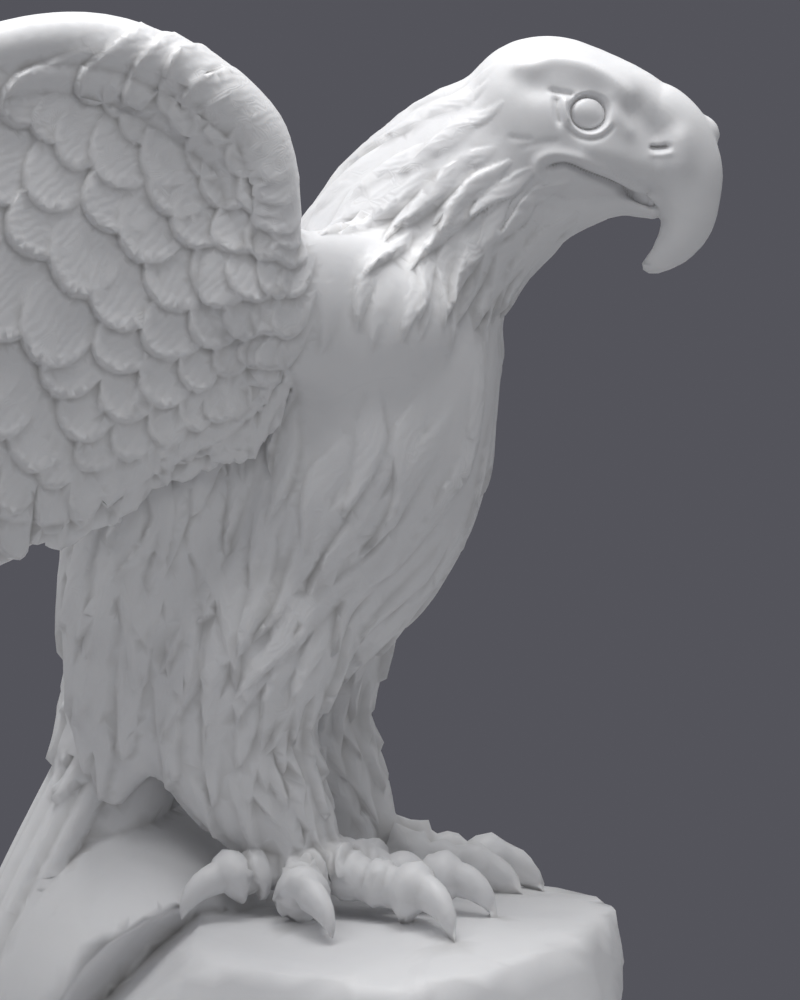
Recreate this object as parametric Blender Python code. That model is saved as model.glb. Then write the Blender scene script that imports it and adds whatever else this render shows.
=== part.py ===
"""A white marble eagle with raised wings, perched on a rough rock, all carved from one block.

The figure faces +X, the rock's underside is flat on z = 0, and +Z is up.
"""

import math
from collections import namedtuple

import bmesh
import bpy
import numpy as np
from mathutils import Vector
from mathutils.bvhtree import BVHTree
from mathutils.geometry import delaunay_2d_cdt

# Driving sizes, in metres
FIGURE_HEIGHT = 0.437  # from the rock's top to the top of the raised wings
ROCK_HEIGHT = 0.155  # from the flat underside to the rock's top, where the feet stand

# The figure's proportions are in shares, counted from the middle of the rock's top
SHARE = FIGURE_HEIGHT / 437

# How finely the form is worked, in shares, and the triangles that are kept
SOFT_GRAIN = 4.0
CARVED_GRAIN = 2.2
TRIANGLES = 9400

HEAD_TURN = math.radians(-7)  # the head looks a little towards its right
HEAD_PIVOT = np.array((50.0, 0.0, 0.0))

# Neck and trunk, from the nape to the root of the tail: centre x, y, z, half height, half width
TRUNK = [
    (80, 0, 385, 29, 25), (53, 0, 368, 47.5, 34), (22.7, 0, 344, 50, 43), (-2.5, 0, 308, 56, 55),
    (-15, 0, 262, 65, 68), (-32, 0, 218, 75, 73), (-60, 0, 180, 74, 69), (-94, 0, 143, 62, 59),
    (-124, 0, 108, 45, 46), (-144, 0, 80, 29, 36), (-157, 0, 52, 21, 30),
]
SKULL = [
    (36, 0, 374, 17, 18), (46, 0, 379.5, 29, 27), (58, 0, 384.5, 41, 34), (72, 0, 386.5, 45, 37),
    (88, 0, 385, 42.5, 35.5), (104, 0, 383, 37.5, 30), (118, 0, 380, 32.5, 23.5), (130, 0, 376.5, 26, 18),
    (138, 0, 375, 13, 10),
]
UPPER_BEAK = [
    (108, 0, 387, 22, 17), (120, 0, 382, 28, 20), (131, 0, 374.5, 26.5, 17.5), (139.5, 0, 363, 21.5, 14),
    (142.5, 0, 349.5, 17, 11.5), (142.5, 0, 338.5, 13.5, 9.5), (138, 0, 329, 10.8, 7.5),
    (131, 0, 321.5, 7.8, 5.2), (125, 0, 317.6, 5, 3.6), (120.8, 0, 317, 2.4, 2),
]
LOWER_BEAK = [
    (58, 0, 342, 26, 24), (76, 0, 347.5, 18, 22), (94, 0, 349.5, 12, 17), (110, 0, 350, 8.5, 12),
    (121, 0, 347, 6.5, 8.5), (128.5, 0, 344, 4.6, 5),
]
CERE_MIDDLE = (146, 5, 382)  # the swelling over the beak's root, and its half sizes
CERE_HALF = (12.5, 8, 10.5)


def unit(v):
    v = np.asarray(v, float)
    return v / np.linalg.norm(v, axis=-1, keepdims=True)


def smooth_rows(rows, count):
    """Rows of numbers on a smooth curve through the given rows."""
    rows = np.asarray(rows, float)
    ends = np.vstack([2 * rows[0] - rows[1], rows, 2 * rows[-1] - rows[-2]])
    at = np.linspace(0, len(rows) - 1, count)
    i = np.minimum(at.astype(int), len(rows) - 2)
    t = (at - i)[:, None]
    a, b, c, d = (ends[i + k] for k in range(4))
    return 0.5 * (2 * b + (c - a) * t + (2 * a - 5 * b + 4 * c - d) * t**2 + (3 * b - a - 3 * c + d) * t**3)


def turned(points):
    """Points of the head, turned about the neck."""
    points = np.array(points, float)
    away = points[..., :3] - HEAD_PIVOT
    c, s = math.cos(HEAD_TURN), math.sin(HEAD_TURN)
    out = points.copy()
    out[..., 0] = HEAD_PIVOT[0] + c * away[..., 0] - s * away[..., 1]
    out[..., 1] = HEAD_PIVOT[1] + s * away[..., 0] + c * away[..., 1]
    return out


def mesh_object(name, points, faces):
    """An object from points in shares."""
    mesh = bpy.data.meshes.new(name)
    mesh.from_pydata([tuple(p * SHARE) for p in np.asarray(points, float)], [], faces)
    bm = bmesh.new()
    bm.from_mesh(mesh)
    bmesh.ops.recalc_face_normals(bm, faces=bm.faces)
    bm.to_mesh(mesh)
    bm.free()
    obj = bpy.data.objects.new(name, mesh)
    bpy.context.scene.collection.objects.link(obj)
    return obj


def tube(name, stations, side=(0, 1, 0), rings=48, sides=36, square=2.0, ripple=(0, 0)):
    """A closed tube through stations of centre x, y, z, half height and half width along side."""
    rows = smooth_rows(stations, rings)
    centre, half = rows[:, :3], np.maximum(rows[:, 3:5], 0.3)
    waves, depth = ripple
    half = half * (1 + depth * np.cos(np.linspace(0, 2 * math.pi * waves, rings)))[:, None]
    along = unit(np.gradient(centre, axis=0))
    side = np.asarray(side, float)
    wide = unit(side - (along @ side)[:, None] * along)
    high = np.cross(wide, along)
    turn = np.linspace(0, 2 * math.pi, sides, endpoint=False)
    c, s = (np.sign(x) * np.abs(x) ** (2 / square) for x in (np.cos(turn), np.sin(turn)))
    ring = (centre[:, None] + wide[:, None] * (half[:, 1, None] * c)[..., None]
            + high[:, None] * (half[:, 0, None] * s)[..., None])
    faces = [tuple(range(sides)), tuple(range((rings - 1) * sides, rings * sides))]
    for i in range(rings - 1):
        for j in range(sides):
            k = (j + 1) % sides
            faces.append((i * sides + j, i * sides + k, (i + 1) * sides + k, (i + 1) * sides + j))
    return mesh_object(name, ring.reshape(-1, 3), faces)


LEG_OUT = 46  # from the middle to each leg
STRIDE = 27  # how far the left foot stands before the right one


def leg_rows(side, forward):
    """The thigh and shank as stations. side is -1 or 1, and forward shifts the foot along X."""
    y = side * LEG_OUT
    rows = [
        (-62, y * 0.60, 200, 46, 30), (-70, y * 0.80, 163, 54, 32), (-80, y * 0.95, 128, 52, 32),
        (-84, y, 100, 45, 30), (-78, y, 75, 37, 27), (-64, y, 54, 30, 23), (-54, y, 38, 23, 18),
        (-48, y, 24, 17, 15), (-45, y, 12, 14, 14),
    ]
    return [(x + forward * min(1, (250 - z) / 140), row_y, z, high, wide) for x, row_y, z, high, wide in rows]


def toe(name, root, tip, thick):
    """A jointed toe that lies on the rock from root to tip, with scutes across it."""
    root, tip = np.array(root, float), np.array(tip, float)
    shape = ((0, 1.12, 8), (0.15, 0.94, 7), (0.32, 1.04, 5), (0.45, 0.84, 4), (0.6, 1.02, 3.5),
             (0.74, 0.8, 2), (0.9, 1.2, 2), (1.0, 1.08, 0), (1.08, 0.6, -2))
    rows = [(*(root + (tip - root) * t + (0, 0, z)), thick * r, thick * r * 0.92) for t, r, z in shape]
    return tube(name, rows, side=unit(np.cross((0, 0, 1), tip - root)), ripple=(13, 0.045), rings=110)


def claw(name, base, heading, length, thick):
    """A hooked claw that leaves base along heading and curves down to the rock."""
    heading = unit(np.array([*heading, 0.0]))
    steps = 8
    slopes = np.radians(np.linspace(-14, -80, steps + 1))
    stride = length / steps
    place = np.array(base, float)
    rows = []
    for k, slope in enumerate(slopes):
        half = thick * (1 - (k / steps) ** 1.7) + 0.9
        rows.append((*place, half * 1.15, half * 0.92))
        place = place + stride * (heading * math.cos(slope) + np.array((0, 0, math.sin(slope))))
    return tube(name, rows, side=unit(np.cross((0, 0, 1), heading)))


# Each toe: root and tip from the ankle, half thickness, then its claw's length, half thickness and how far
# the claw turns off the toe, in degrees
NEAR_TOES = [
    ((-6, -2, 18), (-40, -22, 19), 11.5, 30, 8, 0), ((-2, -8, 15), (-3, -36, 13), 12, 29, 8.5, 38),
    ((6, -6, 16), (53, -30, 13), 12.5, 31, 9, -24), ((12, 4, 16), (68, 2, 14), 12, 28, 8.5, -20),
]
FAR_TOES = [
    ((-6, 0, 14), (-42, 4, 14), 11, 26, 8, 0), ((-2, 8, 14), (4, 38, 10), 11, 28, 8, 0),
    ((8, 4, 15), (64, 11, 9), 12, 29, 9, -12), ((10, -6, 14), (56, -12, 8), 11.5, 27, 8.5, -16),
]
NEAR_ANKLE = (-44, -46, 0)
FAR_ANKLE = (-16, 46, -2)


def foot(name, ankle, toes):
    made = []
    for k, (root, tip, thick, claw_length, claw_thick, turn) in enumerate(toes):
        root, tip = np.add(ankle, root), np.add(ankle, tip)
        made.append(toe(f"{name}_toe_{k}", root, tip, thick))
        heading = unit((tip - root)[:2])
        c, s = math.cos(math.radians(turn)), math.sin(math.radians(turn))
        heading = np.array((c * heading[0] - s * heading[1], s * heading[0] + c * heading[1]))
        base = tip + (*heading * thick * 0.4, thick * 0.2)
        made.append(claw(f"{name}_claw_{k}", base, heading, claw_length, claw_thick))
    return made


# The raised wing in its own plane: u runs back from the shoulder and v is the height over the rock.
# Its front edge, with the half thickness of the roll along it
WING_EDGE = [
    (10, 262, 9), (6, 292, 11), (3, 325, 12), (1.5, 352, 13), (4, 374, 14), (13, 393.5, 15),
    (32, 410.5, 15.5), (57, 424.5, 15), (86, 435, 14.5), (115, 437, 13.5), (145, 432, 12.5),
    (180, 421, 11.5), (218, 404, 10), (254, 377, 8.5), (286, 342, 7), (310, 302, 5.5),
]
WING_WEB = [
    (14, 270), (12, 320), (12, 365), (30, 398), (62, 418), (110, 426), (160, 418), (210, 398), (246, 368),
    (268, 330), (262, 286), (238, 250), (200, 222), (162, 206), (130, 198), (108, 200), (88, 210), (62, 226),
    (34, 240), (16, 258),
]
# Flight feathers from the wing's tip inward: root u, v and tip u, v
FLIGHT = [
    ((240, 358), (338, 250)), ((230, 350), (345, 216)), ((216, 343), (335, 188)), ((202, 336), (318, 164)),
    ((188, 330), (295, 146)), ((174, 324), (270, 134)), ((160, 320), (245, 128)), ((148, 316), (221, 130)),
    ((136, 312), (199, 139)), ((124, 308), (180, 150)), ((112, 304), (163, 164)), ((100, 302), (147, 178)),
    ((88, 300), (131, 187)), ((78, 298), (116, 185)), ((88, 262), (100, 193)), ((76, 264), (88, 202)),
    ((63, 272), (75, 213)), ((50, 274), (62, 216)), ((40, 280), (52, 221)), ((24, 282), (36, 225)),
    ((12, 290), (23, 236)),
]
WING_LEAN = math.radians(1)

# The round swell between each wing's root, the neck and the breast: its middle and half sizes
SHOULDER_MIDDLE = (-24, 42, 286)
SHOULDER_HALF = (52, 38, 46)

Wing = namedtuple("Wing", "side origin back up out")


def wing_plane(side, root, sweep):
    """The plane of one wing. side is -1 for the eagle's right wing and 1 for its left."""
    flip = np.array((1, side, 1))
    back = np.array((-math.cos(sweep), math.sin(sweep), 0)) * flip
    up = np.array((0, math.sin(WING_LEAN), math.cos(WING_LEAN))) * flip
    up = unit(up - (up @ back) * back)
    out = np.cross(back, up)
    return Wing(side, np.array(root, float) * flip, back, up, out * np.sign(out[1] * side))


NEAR_WING = wing_plane(-1, (-50, 72, 288), math.radians(20))
FAR_WING = wing_plane(1, (-60, 70, 286), math.radians(22))


def dish(u, v):
    """How far the wing's middle layer stands out of its plane, hollow along the wing and round across it."""
    return 11 * ((u - 120) / 150) ** 2 - 5 * ((v - 320) / 110) ** 2 - 4


def on_wing(wing, u, v, out=0.0):
    return wing.origin + u * wing.back + (v - wing.origin[2]) * wing.up + (dish(u, v) + out) * wing.out


def wing_web(name, wing, thick):
    """The wing's closed sheet, on which its feathers lie."""
    outline = smooth_rows([*WING_WEB, WING_WEB[0]], 120)[:-1]
    step = 12
    inner = []
    for u in np.arange(0, 280, step):
        for v in np.arange(180, 440, step):
            a, b = outline, np.roll(outline, -1, 0)
            over = (a[:, 1] > v) != (b[:, 1] > v)
            edge_u = a[:, 0] + (b[:, 0] - a[:, 0]) * (v - a[:, 1]) / np.where(over, b[:, 1] - a[:, 1], 1)
            clear = np.min(np.hypot(*(outline - (u, v)).T)) > step * 0.6
            if clear and np.sum(over & (u < edge_u)) % 2:
                inner.append((u, v))
    count = len(outline)
    rim = [(i, (i + 1) % count) for i in range(count)]
    flat, _, faces, *_ = delaunay_2d_cdt([Vector(p) for p in (*outline, *inner)], rim, [], 1, 1e-4)
    points = [on_wing(wing, p.x, p.y, layer) for layer in (thick, -thick) for p in flat]
    under = len(flat)
    shell = [tuple(f) for f in faces] + [tuple(under + i for i in reversed(f)) for f in faces]
    shell += [(i, j, under + j, under + i) for i, j in rim]
    return mesh_object(name, points, shell)


def inset(outline, radii):
    """Centres that lie their own radius inside an outline of u, v points."""
    along = unit(np.gradient(outline, axis=0))
    return outline + np.stack([along[:, 1], -along[:, 0]], 1) * radii[:, None]


def wing_parts(name, wing):
    edge = np.array(WING_EDGE, float)
    centres = inset(edge[:, :2], edge[:, 2])
    rows = [(*on_wing(wing, u, v, r * 0.3), r, r) for (u, v), r in zip(centres, edge[:, 2])]
    inner = inset(edge[:, :2], edge[:, 2] * 2.1)
    fill = [(*on_wing(wing, u, v, r * 0.12), r * 0.8, r * 0.8) for (u, v), r in zip(inner, edge[:, 2])]
    parts = [tube(name + "_edge", rows, side=wing.out), tube(name + "_edge_fill", fill, side=wing.out)]
    parts.append(wing_web(name + "_web", wing, 7.5))
    for k, (root, tip) in enumerate(FLIGHT):
        root, tip = np.array(root, float), np.array(tip, float)
        rows = []
        for t, wide in ((0, 0.5), (0.2, 0.85), (0.45, 1), (0.7, 1.05), (0.86, 0.98), (0.95, 0.7), (1.0, 0.25)):
            u, v = root + (tip - root) * t
            rows.append((*on_wing(wing, u, v, 2.2 * (k % 2) - 1.5), 4.4, 15 * wide))
        run = tip - root
        side = unit(-run[1] * wing.back + run[0] * wing.up)
        parts.append(tube(f"{name}_flight_{k}", rows, side=side, rings=24, sides=20, square=2.6))
    return parts


def soft_wing_parts(name, wing):
    """The shoulder that joins the wing to the trunk, and the long feathers that hang behind the thigh."""
    y = wing.side
    shoulder = [(30, 14 * y, 290, 26, 18), (2, 36 * y, 294, 38, 26), (-30, 54 * y, 294, 42, 27)]
    for u, v, half in ((18, 306, 34), (30, 336, 24), (36, 366, 12)):
        shoulder.append((*on_wing(wing, u, v, 0), half, half * 0.42))
    swell = ball(name + "_swell", np.multiply(SHOULDER_MIDDLE, (1, y, 1)), SHOULDER_HALF)
    return [tube(name + "_shoulder", shoulder, side=wing.out), swell, tube(name + "_drape", drape_rows(y))]


def drape_rows(side):
    return [
        (-83, 40 * side, 300, 25, 16), (-103, 50 * side, 262, 40, 22), (-120, 54 * side, 216, 43, 24),
        (-130, 54 * side, 170, 35, 25), (-132, 50 * side, 128, 32, 24), (-134, 46 * side, 98, 29, 18),
        (-137, 43 * side, 78, 21, 14), (-140, 41 * side, 62, 12, 9), (-141, 40 * side, 50, 4, 4),
    ]


TAIL_ROOT = np.array((-128, 0, 112))
TAIL_TIP = np.array((-244, 0, -132))
TAIL_SPREAD = 58
TAIL_FEATHERS = 11


def tail_parts():
    """Long feathers side by side, in a shallow arch."""
    parts = []
    run = TAIL_TIP - TAIL_ROOT
    lift = unit(np.cross(run, (0, 1, 0)))
    lift = lift * np.sign(lift[2])
    for k in range(TAIL_FEATHERS):
        place = 2 * k / (TAIL_FEATHERS - 1) - 1
        rows = []
        for t, wide, bow in ((0, 8, 0), (0.2, 9, 5), (0.5, 10.5, 7), (0.8, 11.5, 4), (0.93, 9, 1), (1, 3, 0)):
            spread = (0.42 + 0.58 * t) * TAIL_SPREAD * place
            arch = 9 - 17 * place**2 + 2.4 * (k % 2) + bow
            shorter = t * (1 - 0.07 * place**2)
            rows.append((*(TAIL_ROOT + run * shorter + (0, spread, 0) + lift * arch), 6, wide))
        parts.append(tube(f"tail_{k}", rows, rings=24, sides=20, square=2.4))
    core = ((-0.05, 22, 26), (0.2, 26, 34), (0.5, 26, 42), (0.8, 20, 48), (0.94, 10, 44))
    rows = [(*(TAIL_ROOT + run * t - lift * (high - 12)), high, wide) for t, high, wide in core]
    parts.append(tube("tail_core", rows, square=2.6))
    return parts


# The rock's corners, x, y, z, under the feet, down its sides and around its foot
ROCK_TOP = [
    (-97, -66, 2), (-98, -119, -11), (5, -150, -20), (62, -120, -11), (90, -88, -4), (108, -22, -3),
    (98, 60, -8), (38, 118, -9), (-60, 125, -3),
]
ROCK_SIDE = [
    (-205, -92, -118), (-228, 0, -104), (-210, 110, -90), (113, -18, -34), (-117, -126, -50),
    (-130, 130, -30),
]
# The smooth mound behind the feet, under the tail: its middle, and its half sizes along X, Y and Z
MOUND_MIDDLE = np.array((-130, 14, -70))
MOUND_HALF = np.array((85, 130, 117))
MOUND_BITE = (-43, -150, -107, 150)  # the hollow under the mound's brow, as a ball: middle x, y, z and radius
# Hollow broken faces, as balls that bite into the rock: middle x, y, z and radius
ROCK_BITES = [
    (-150, -324, -6, 203), (72, -252, -98, 128), (201, -24, -88, 106), (50, 290, -40, 172),
    (-190, 262, -20, 150), (-350, -30, -60, 112),
]
ROCK_FOOT = [
    (-150, -165), (-40, -182), (110, -150), (128, -40), (125, 90), (40, 160), (-150, 165), (-255, -110),
    (-272, 0), (-255, 110),
]


def hull(name, corners):
    """The hull of some corners."""
    bm = bmesh.new()
    for corner in corners:
        bm.verts.new(Vector(corner) * SHARE)
    made = bmesh.ops.convex_hull(bm, input=bm.verts)
    spare = [g for g in made["geom_interior"] if isinstance(g, bmesh.types.BMVert)]
    bmesh.ops.delete(bm, geom=spare, context="VERTS")
    mesh = bpy.data.meshes.new(name)
    bm.to_mesh(mesh)
    bm.free()
    obj = bpy.data.objects.new(name, mesh)
    bpy.context.scene.collection.objects.link(obj)
    return obj


def ball(name, middle, half):
    """A ball or egg of those half sizes."""
    bm = bmesh.new()
    bmesh.ops.create_uvsphere(bm, u_segments=64, v_segments=40, radius=1)
    for vert in bm.verts:
        vert.co = Vector((np.array(middle) + np.array(vert.co) * half) * SHARE)
    mesh = bpy.data.meshes.new(name)
    bm.to_mesh(mesh)
    bm.free()
    obj = bpy.data.objects.new(name, mesh)
    bpy.context.scene.collection.objects.link(obj)
    return obj


def rock_parts():
    """The rock's mound and its broken faces, flat and hollow."""
    base = -ROCK_HEIGHT / SHARE - 10  # a little below the cut that makes the underside
    corners = ROCK_TOP + ROCK_SIDE + [(x, y, base) for x, y in ROCK_FOOT]
    rock, mound = hull("rock", corners), ball("mound", MOUND_MIDDLE, MOUND_HALF)
    bites = [ball("bite", place, radius) for *place, radius in [*ROCK_BITES, MOUND_BITE]]
    for part, cutters in ((rock, bites[:-1]), (mound, bites)):
        for bite in cutters:
            cut = part.modifiers.new("bitten", "BOOLEAN")
            cut.operation = "DIFFERENCE"
            cut.object = bite
        settled(part)
    for bite in bites:
        bpy.data.objects.remove(bite)
    return [rock, mound]


def fused(name, parts, grain, passes):
    """One smooth closed object in place of overlapping parts."""
    bm = bmesh.new()
    for part in parts:
        bm.from_mesh(part.data)
        bpy.data.objects.remove(part)
    mesh = bpy.data.meshes.new(name)
    bm.to_mesh(mesh)
    bm.free()
    obj = bpy.data.objects.new(name, mesh)
    bpy.context.scene.collection.objects.link(obj)
    remesh = obj.modifiers.new("fused", "REMESH")
    remesh.mode = "VOXEL"
    remesh.voxel_size = grain * SHARE
    soften = obj.modifiers.new("softened", "SMOOTH")
    soften.factor = 0.5
    soften.iterations = passes
    return settled(obj)


def settled(obj):
    """The object with its modifiers applied."""
    done = bpy.data.meshes.new_from_object(obj.evaluated_get(bpy.context.evaluated_depsgraph_get()))
    obj.modifiers.clear()
    obj.data = done
    return obj


def figure():
    """The whole eagle on its rock, before its feathers are carved."""
    soft = [tube("trunk", TRUNK), tube("skull", turned(SKULL))]
    soft += [tube("near_leg", leg_rows(-1, 0)), tube("far_leg", leg_rows(1, STRIDE))]
    soft += soft_wing_parts("near_wing", NEAR_WING) + soft_wing_parts("far_wing", FAR_WING)
    body = fused("body", soft, SOFT_GRAIN, 12)
    parts = [body, tube("upper_beak", turned(UPPER_BEAK)), tube("lower_beak", turned(LOWER_BEAK))]
    parts.append(ball("cere", turned(CERE_MIDDLE), CERE_HALF))
    parts += tail_parts() + wing_parts("near_wing", NEAR_WING) + wing_parts("far_wing", FAR_WING)
    parts += foot("near_foot", NEAR_ANKLE, NEAR_TOES) + foot("far_foot", FAR_ANKLE, FAR_TOES)
    parts += rock_parts()
    return fused("eagle_on_rock", parts, CARVED_GRAIN, 3)


# One carved feather over the surface, in shares. taper is 0 for a round end and 1 for a pointed one,
# tilt raises one edge over its neighbour, and bend curves it sideways
Feather = namedtuple("Feather", "centre along normal length width lift taper tilt bend")


class Surface:
    """A closed mesh in shares, to find the places where feathers are carved."""

    def __init__(self, obj):
        mesh = obj.data
        count = len(mesh.vertices)
        self.points = np.empty(count * 3)
        mesh.vertices.foreach_get("co", self.points)
        self.points = self.points.reshape(-1, 3) / SHARE
        self.normals = np.empty(count * 3)
        mesh.vertex_normals.foreach_get("vector", self.normals)
        self.normals = self.normals.reshape(-1, 3)
        polygons = [tuple(p.vertices) for p in mesh.polygons]
        self.tree = BVHTree.FromPolygons([tuple(p) for p in self.points], polygons)
        self.box = 16.0
        self.sort()

    def sort(self):
        """Sorts the points into boxes, so that those near a place are found at once."""
        keys = np.floor(self.points / self.box).astype(int)
        order = np.lexsort(keys.T)
        keys = keys[order]
        starts = np.flatnonzero(np.r_[True, np.any(np.diff(keys, axis=0), axis=1)])
        ends = np.r_[starts[1:], len(order)]
        self.boxes = {tuple(keys[a]): order[a:b] for a, b in zip(starts, ends)}

    def near(self, centre, reach):
        low = np.floor((centre - reach) / self.box).astype(int)
        high = np.floor((centre + reach) / self.box).astype(int)
        keys = (tuple(low + step) for step in np.ndindex(*(high - low + 1)))
        found = [self.boxes[key] for key in keys if key in self.boxes]
        return np.concatenate(found) if found else np.empty(0, int)

    def hit(self, start, direction, reach=1000.0):
        """The first place on the surface from start along direction, and its normal."""
        place, normal, _, _ = self.tree.ray_cast(Vector(start), Vector(direction), reach)
        return (np.array(place), np.array(normal)) if place is not None else (None, None)


def feather_at(place, normal, heading, length, width, lift, taper=0.0, tilt=0.0, bend=0.0):
    along = heading - (heading @ normal) * normal
    return Feather(place, unit(along), normal, length, width, lift, taper, tilt, bend)


def smooth_step(x):
    x = np.clip(x, 0, 1)
    return x * x * (3 - 2 * x)


def feather_relief(surface, feathers, edge=1.6):
    """How high the overlapping feathers stand over each point of the surface."""
    height = np.zeros(len(surface.points))
    for f in feathers:
        near = surface.near(f.centre, 0.5 * math.hypot(f.length, f.width))
        away = surface.points[near] - f.centre
        s = 0.5 + away @ f.along / f.length
        off = away @ np.cross(f.normal, f.along) - f.bend * f.length * (s - 0.2) ** 2
        t = off / (0.5 * f.width)
        deep = np.abs(away @ f.normal) < 0.35 * f.length + 4
        faces_out = surface.normals[near] @ f.normal > 0.25
        rounded = np.sqrt(np.clip(1 - np.clip((s - 0.58) / 0.42, 0, None) ** 2.2, 0, 1))
        pointed = np.clip((1 - s) / 0.66, 0, 1) ** 0.8 * np.clip(0.45 + 1.6 * s, 0, 1)
        outline = (1 - f.taper) * rounded + f.taper * pointed
        side = (outline - np.abs(t)) * 0.5 * f.width
        ramp = 0.04 + 0.96 * np.clip(s, 0, 1) ** (1.5 - 0.6 * f.taper)
        dome = 1 - (0.12 + 0.43 * f.taper) * (t / np.maximum(outline, 0.2)) ** 2 + f.tilt * t
        h = f.lift * ramp * dome * smooth_step(side / edge)
        h[(s < 0) | (s > 1) | ~deep | ~faces_out] = 0
        height[near] = np.maximum(height[near], h)
    return height


def wobble(k, size):
    """A small unevenness that differs for every k, always the same."""
    return size * math.sin(12.9898 * k + 4.1) * math.cos(7.233 * k)


# Rows of coverts on the raised wing, from its front edge down: the row's first, middle and last place as
# u, v, how many, each one's length, width and lift, and the angle it hangs at, first and last, in degrees
COVERTS = [
    ((18, 402), (92, 418), (285, 330), 15, 34, 21, 2.4, 20, 30),
    ((34, 380), (130, 397), (285, 312), 10, 56, 27, 4.8, 28, 42),
    ((28, 364), (128, 372), (282, 290), 10, 48, 28, 4.4, 40, 46),
    ((20, 350), (105, 342), (272, 268), 10, 44, 28, 4.6, 50, 52),
    ((14, 334), (110, 316), (262, 250), 10, 42, 28, 4.6, 62, 56),
    ((12, 311), (115, 291), (250, 232), 10, 42, 28, 4.6, 68, 60),
    ((14, 288), (105, 266), (236, 214), 9, 44, 28, 4.6, 74, 66),
    ((22, 265), (100, 243), (222, 196), 9, 46, 27, 4.4, 78, 70),
    ((44, 240), (100, 220), (200, 182), 7, 48, 26, 4.2, 80, 74),
    ((70, 216), (104, 198), (170, 172), 5, 46, 24, 4.0, 82, 78),
]


def coverts(surface, wing, face):
    """Rows of feathers on one face of a wing: 1 for its outer face and -1 for the one over the back."""
    made = []
    for row, (first, middle, last, count, length, width, lift, turn_first, turn_last) in enumerate(COVERTS):
        for k in range(count):
            t = (k + 0.5 * (row % 2)) / (count - 0.5)
            pull = 2 * np.array(middle) - (np.array(first) + np.array(last)) / 2
            u, v = np.array(first) * (1 - t) ** 2 + 2 * t * (1 - t) * pull + np.array(last) * t**2
            number = 40 * row + k
            angle = math.radians(turn_first + (turn_last - turn_first) * t + wobble(number, 7))
            run = math.cos(angle), -math.sin(angle)
            size = length * (1 + wobble(number + 7, 0.12)) * (0.72 + 0.28 * min(1, t * 4))
            u += wobble(number + 3, 2) - run[0] * size / 2
            v += wobble(number + 5, 2) - run[1] * size / 2
            place, normal = surface.hit(on_wing(wing, u, v, 60 * face), -face * wing.out, 110)
            if place is None or abs((place - on_wing(wing, u, v)) @ wing.out) > 40:
                continue
            heading = run[0] * wing.back + run[1] * wing.up
            broad = width * (1 + wobble(number + 11, 0.1)) * (0.7 + 0.3 * min(1, t * 4))
            made.append(feather_at(place, normal, heading, size, broad, lift, 0, 0.16 * face * wing.side))
    return made


def coat(surface, stations, rows, side=(0, 1, 0), flow=None, skip=None):
    """Rows of feathers around a form like a tube, each row at a place from 0 to 1 along its stations."""
    line = smooth_rows(stations, 200)
    along = unit(np.gradient(line[:, :3], axis=0))
    made = []
    for row, (t, count, length, width, lift, taper) in enumerate(rows):
        i = int(round(t * 199))
        centre, run = line[i, :3], along[i]
        wide = unit(np.asarray(side, float) - (run @ side) * run)
        upward = np.cross(wide, run)
        for k in range(count):
            number = 60 * row + k
            a = 2 * math.pi * (k + 0.5 * (row % 2) + wobble(number, 0.25)) / count
            out = math.cos(a) * wide + math.sin(a) * upward
            start = centre + run * wobble(number + 9, 0.25 * length)
            place, normal = surface.hit(start, out, 1.45 * max(line[i, 3], line[i, 4]) + 6)
            if place is None or (skip and skip(place, normal)):
                continue
            heading = flow(place, run) if flow else run
            long = length * (1 + wobble(number + 2, 0.18))
            broad = width * (1 + wobble(number + 4, 0.15))
            high = lift * (1 + wobble(number + 6, 0.2))
            bend = wobble(number + 8, 0.12)
            made.append(feather_at(place, normal, heading, long, broad, high, taper, 0.12, bend))
    return made


def stroke(surface, path, radius, rise, both=True):
    """A soft ridge, or a groove where rise is negative, along a path over the head."""
    height = np.zeros(len(surface.points))
    for side in (-1, 1) if both else (-1,):
        line = turned(smooth_rows([(x, side * abs(y), z) for x, y, z in path], 6 * len(path)))
        ends = np.minimum(1, np.minimum(np.arange(len(line)), np.arange(len(line))[::-1]) / 4 + 0.25)
        best = np.zeros(len(surface.points))
        for place, end in zip(line, ends):
            near = surface.near(place, 3 * radius)
            away = np.linalg.norm(surface.points[near] - place, axis=1)
            best[near] = np.maximum(best[near], end * np.exp(-((away / radius) ** 2)))
        height += rise * best
    return height


def cheek(x, z):
    """The head's half width at a place seen from the side."""
    rows = smooth_rows([(sx, sz, high, wide) for sx, _, sz, high, wide in SKULL + UPPER_BEAK[1:3]], 60)
    sx, sz, high, wide = rows[np.argmin(np.abs(rows[:, 0] - x))]
    return wide * math.sqrt(max(0.05, 1 - ((z - sz) / high) ** 2))


def on_head(*places):
    return [(x, cheek(x, z), z) for x, z in places]


EYE = (93.5, 392.5)  # its x and z
EYE_RADIUS = 8.2


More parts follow.
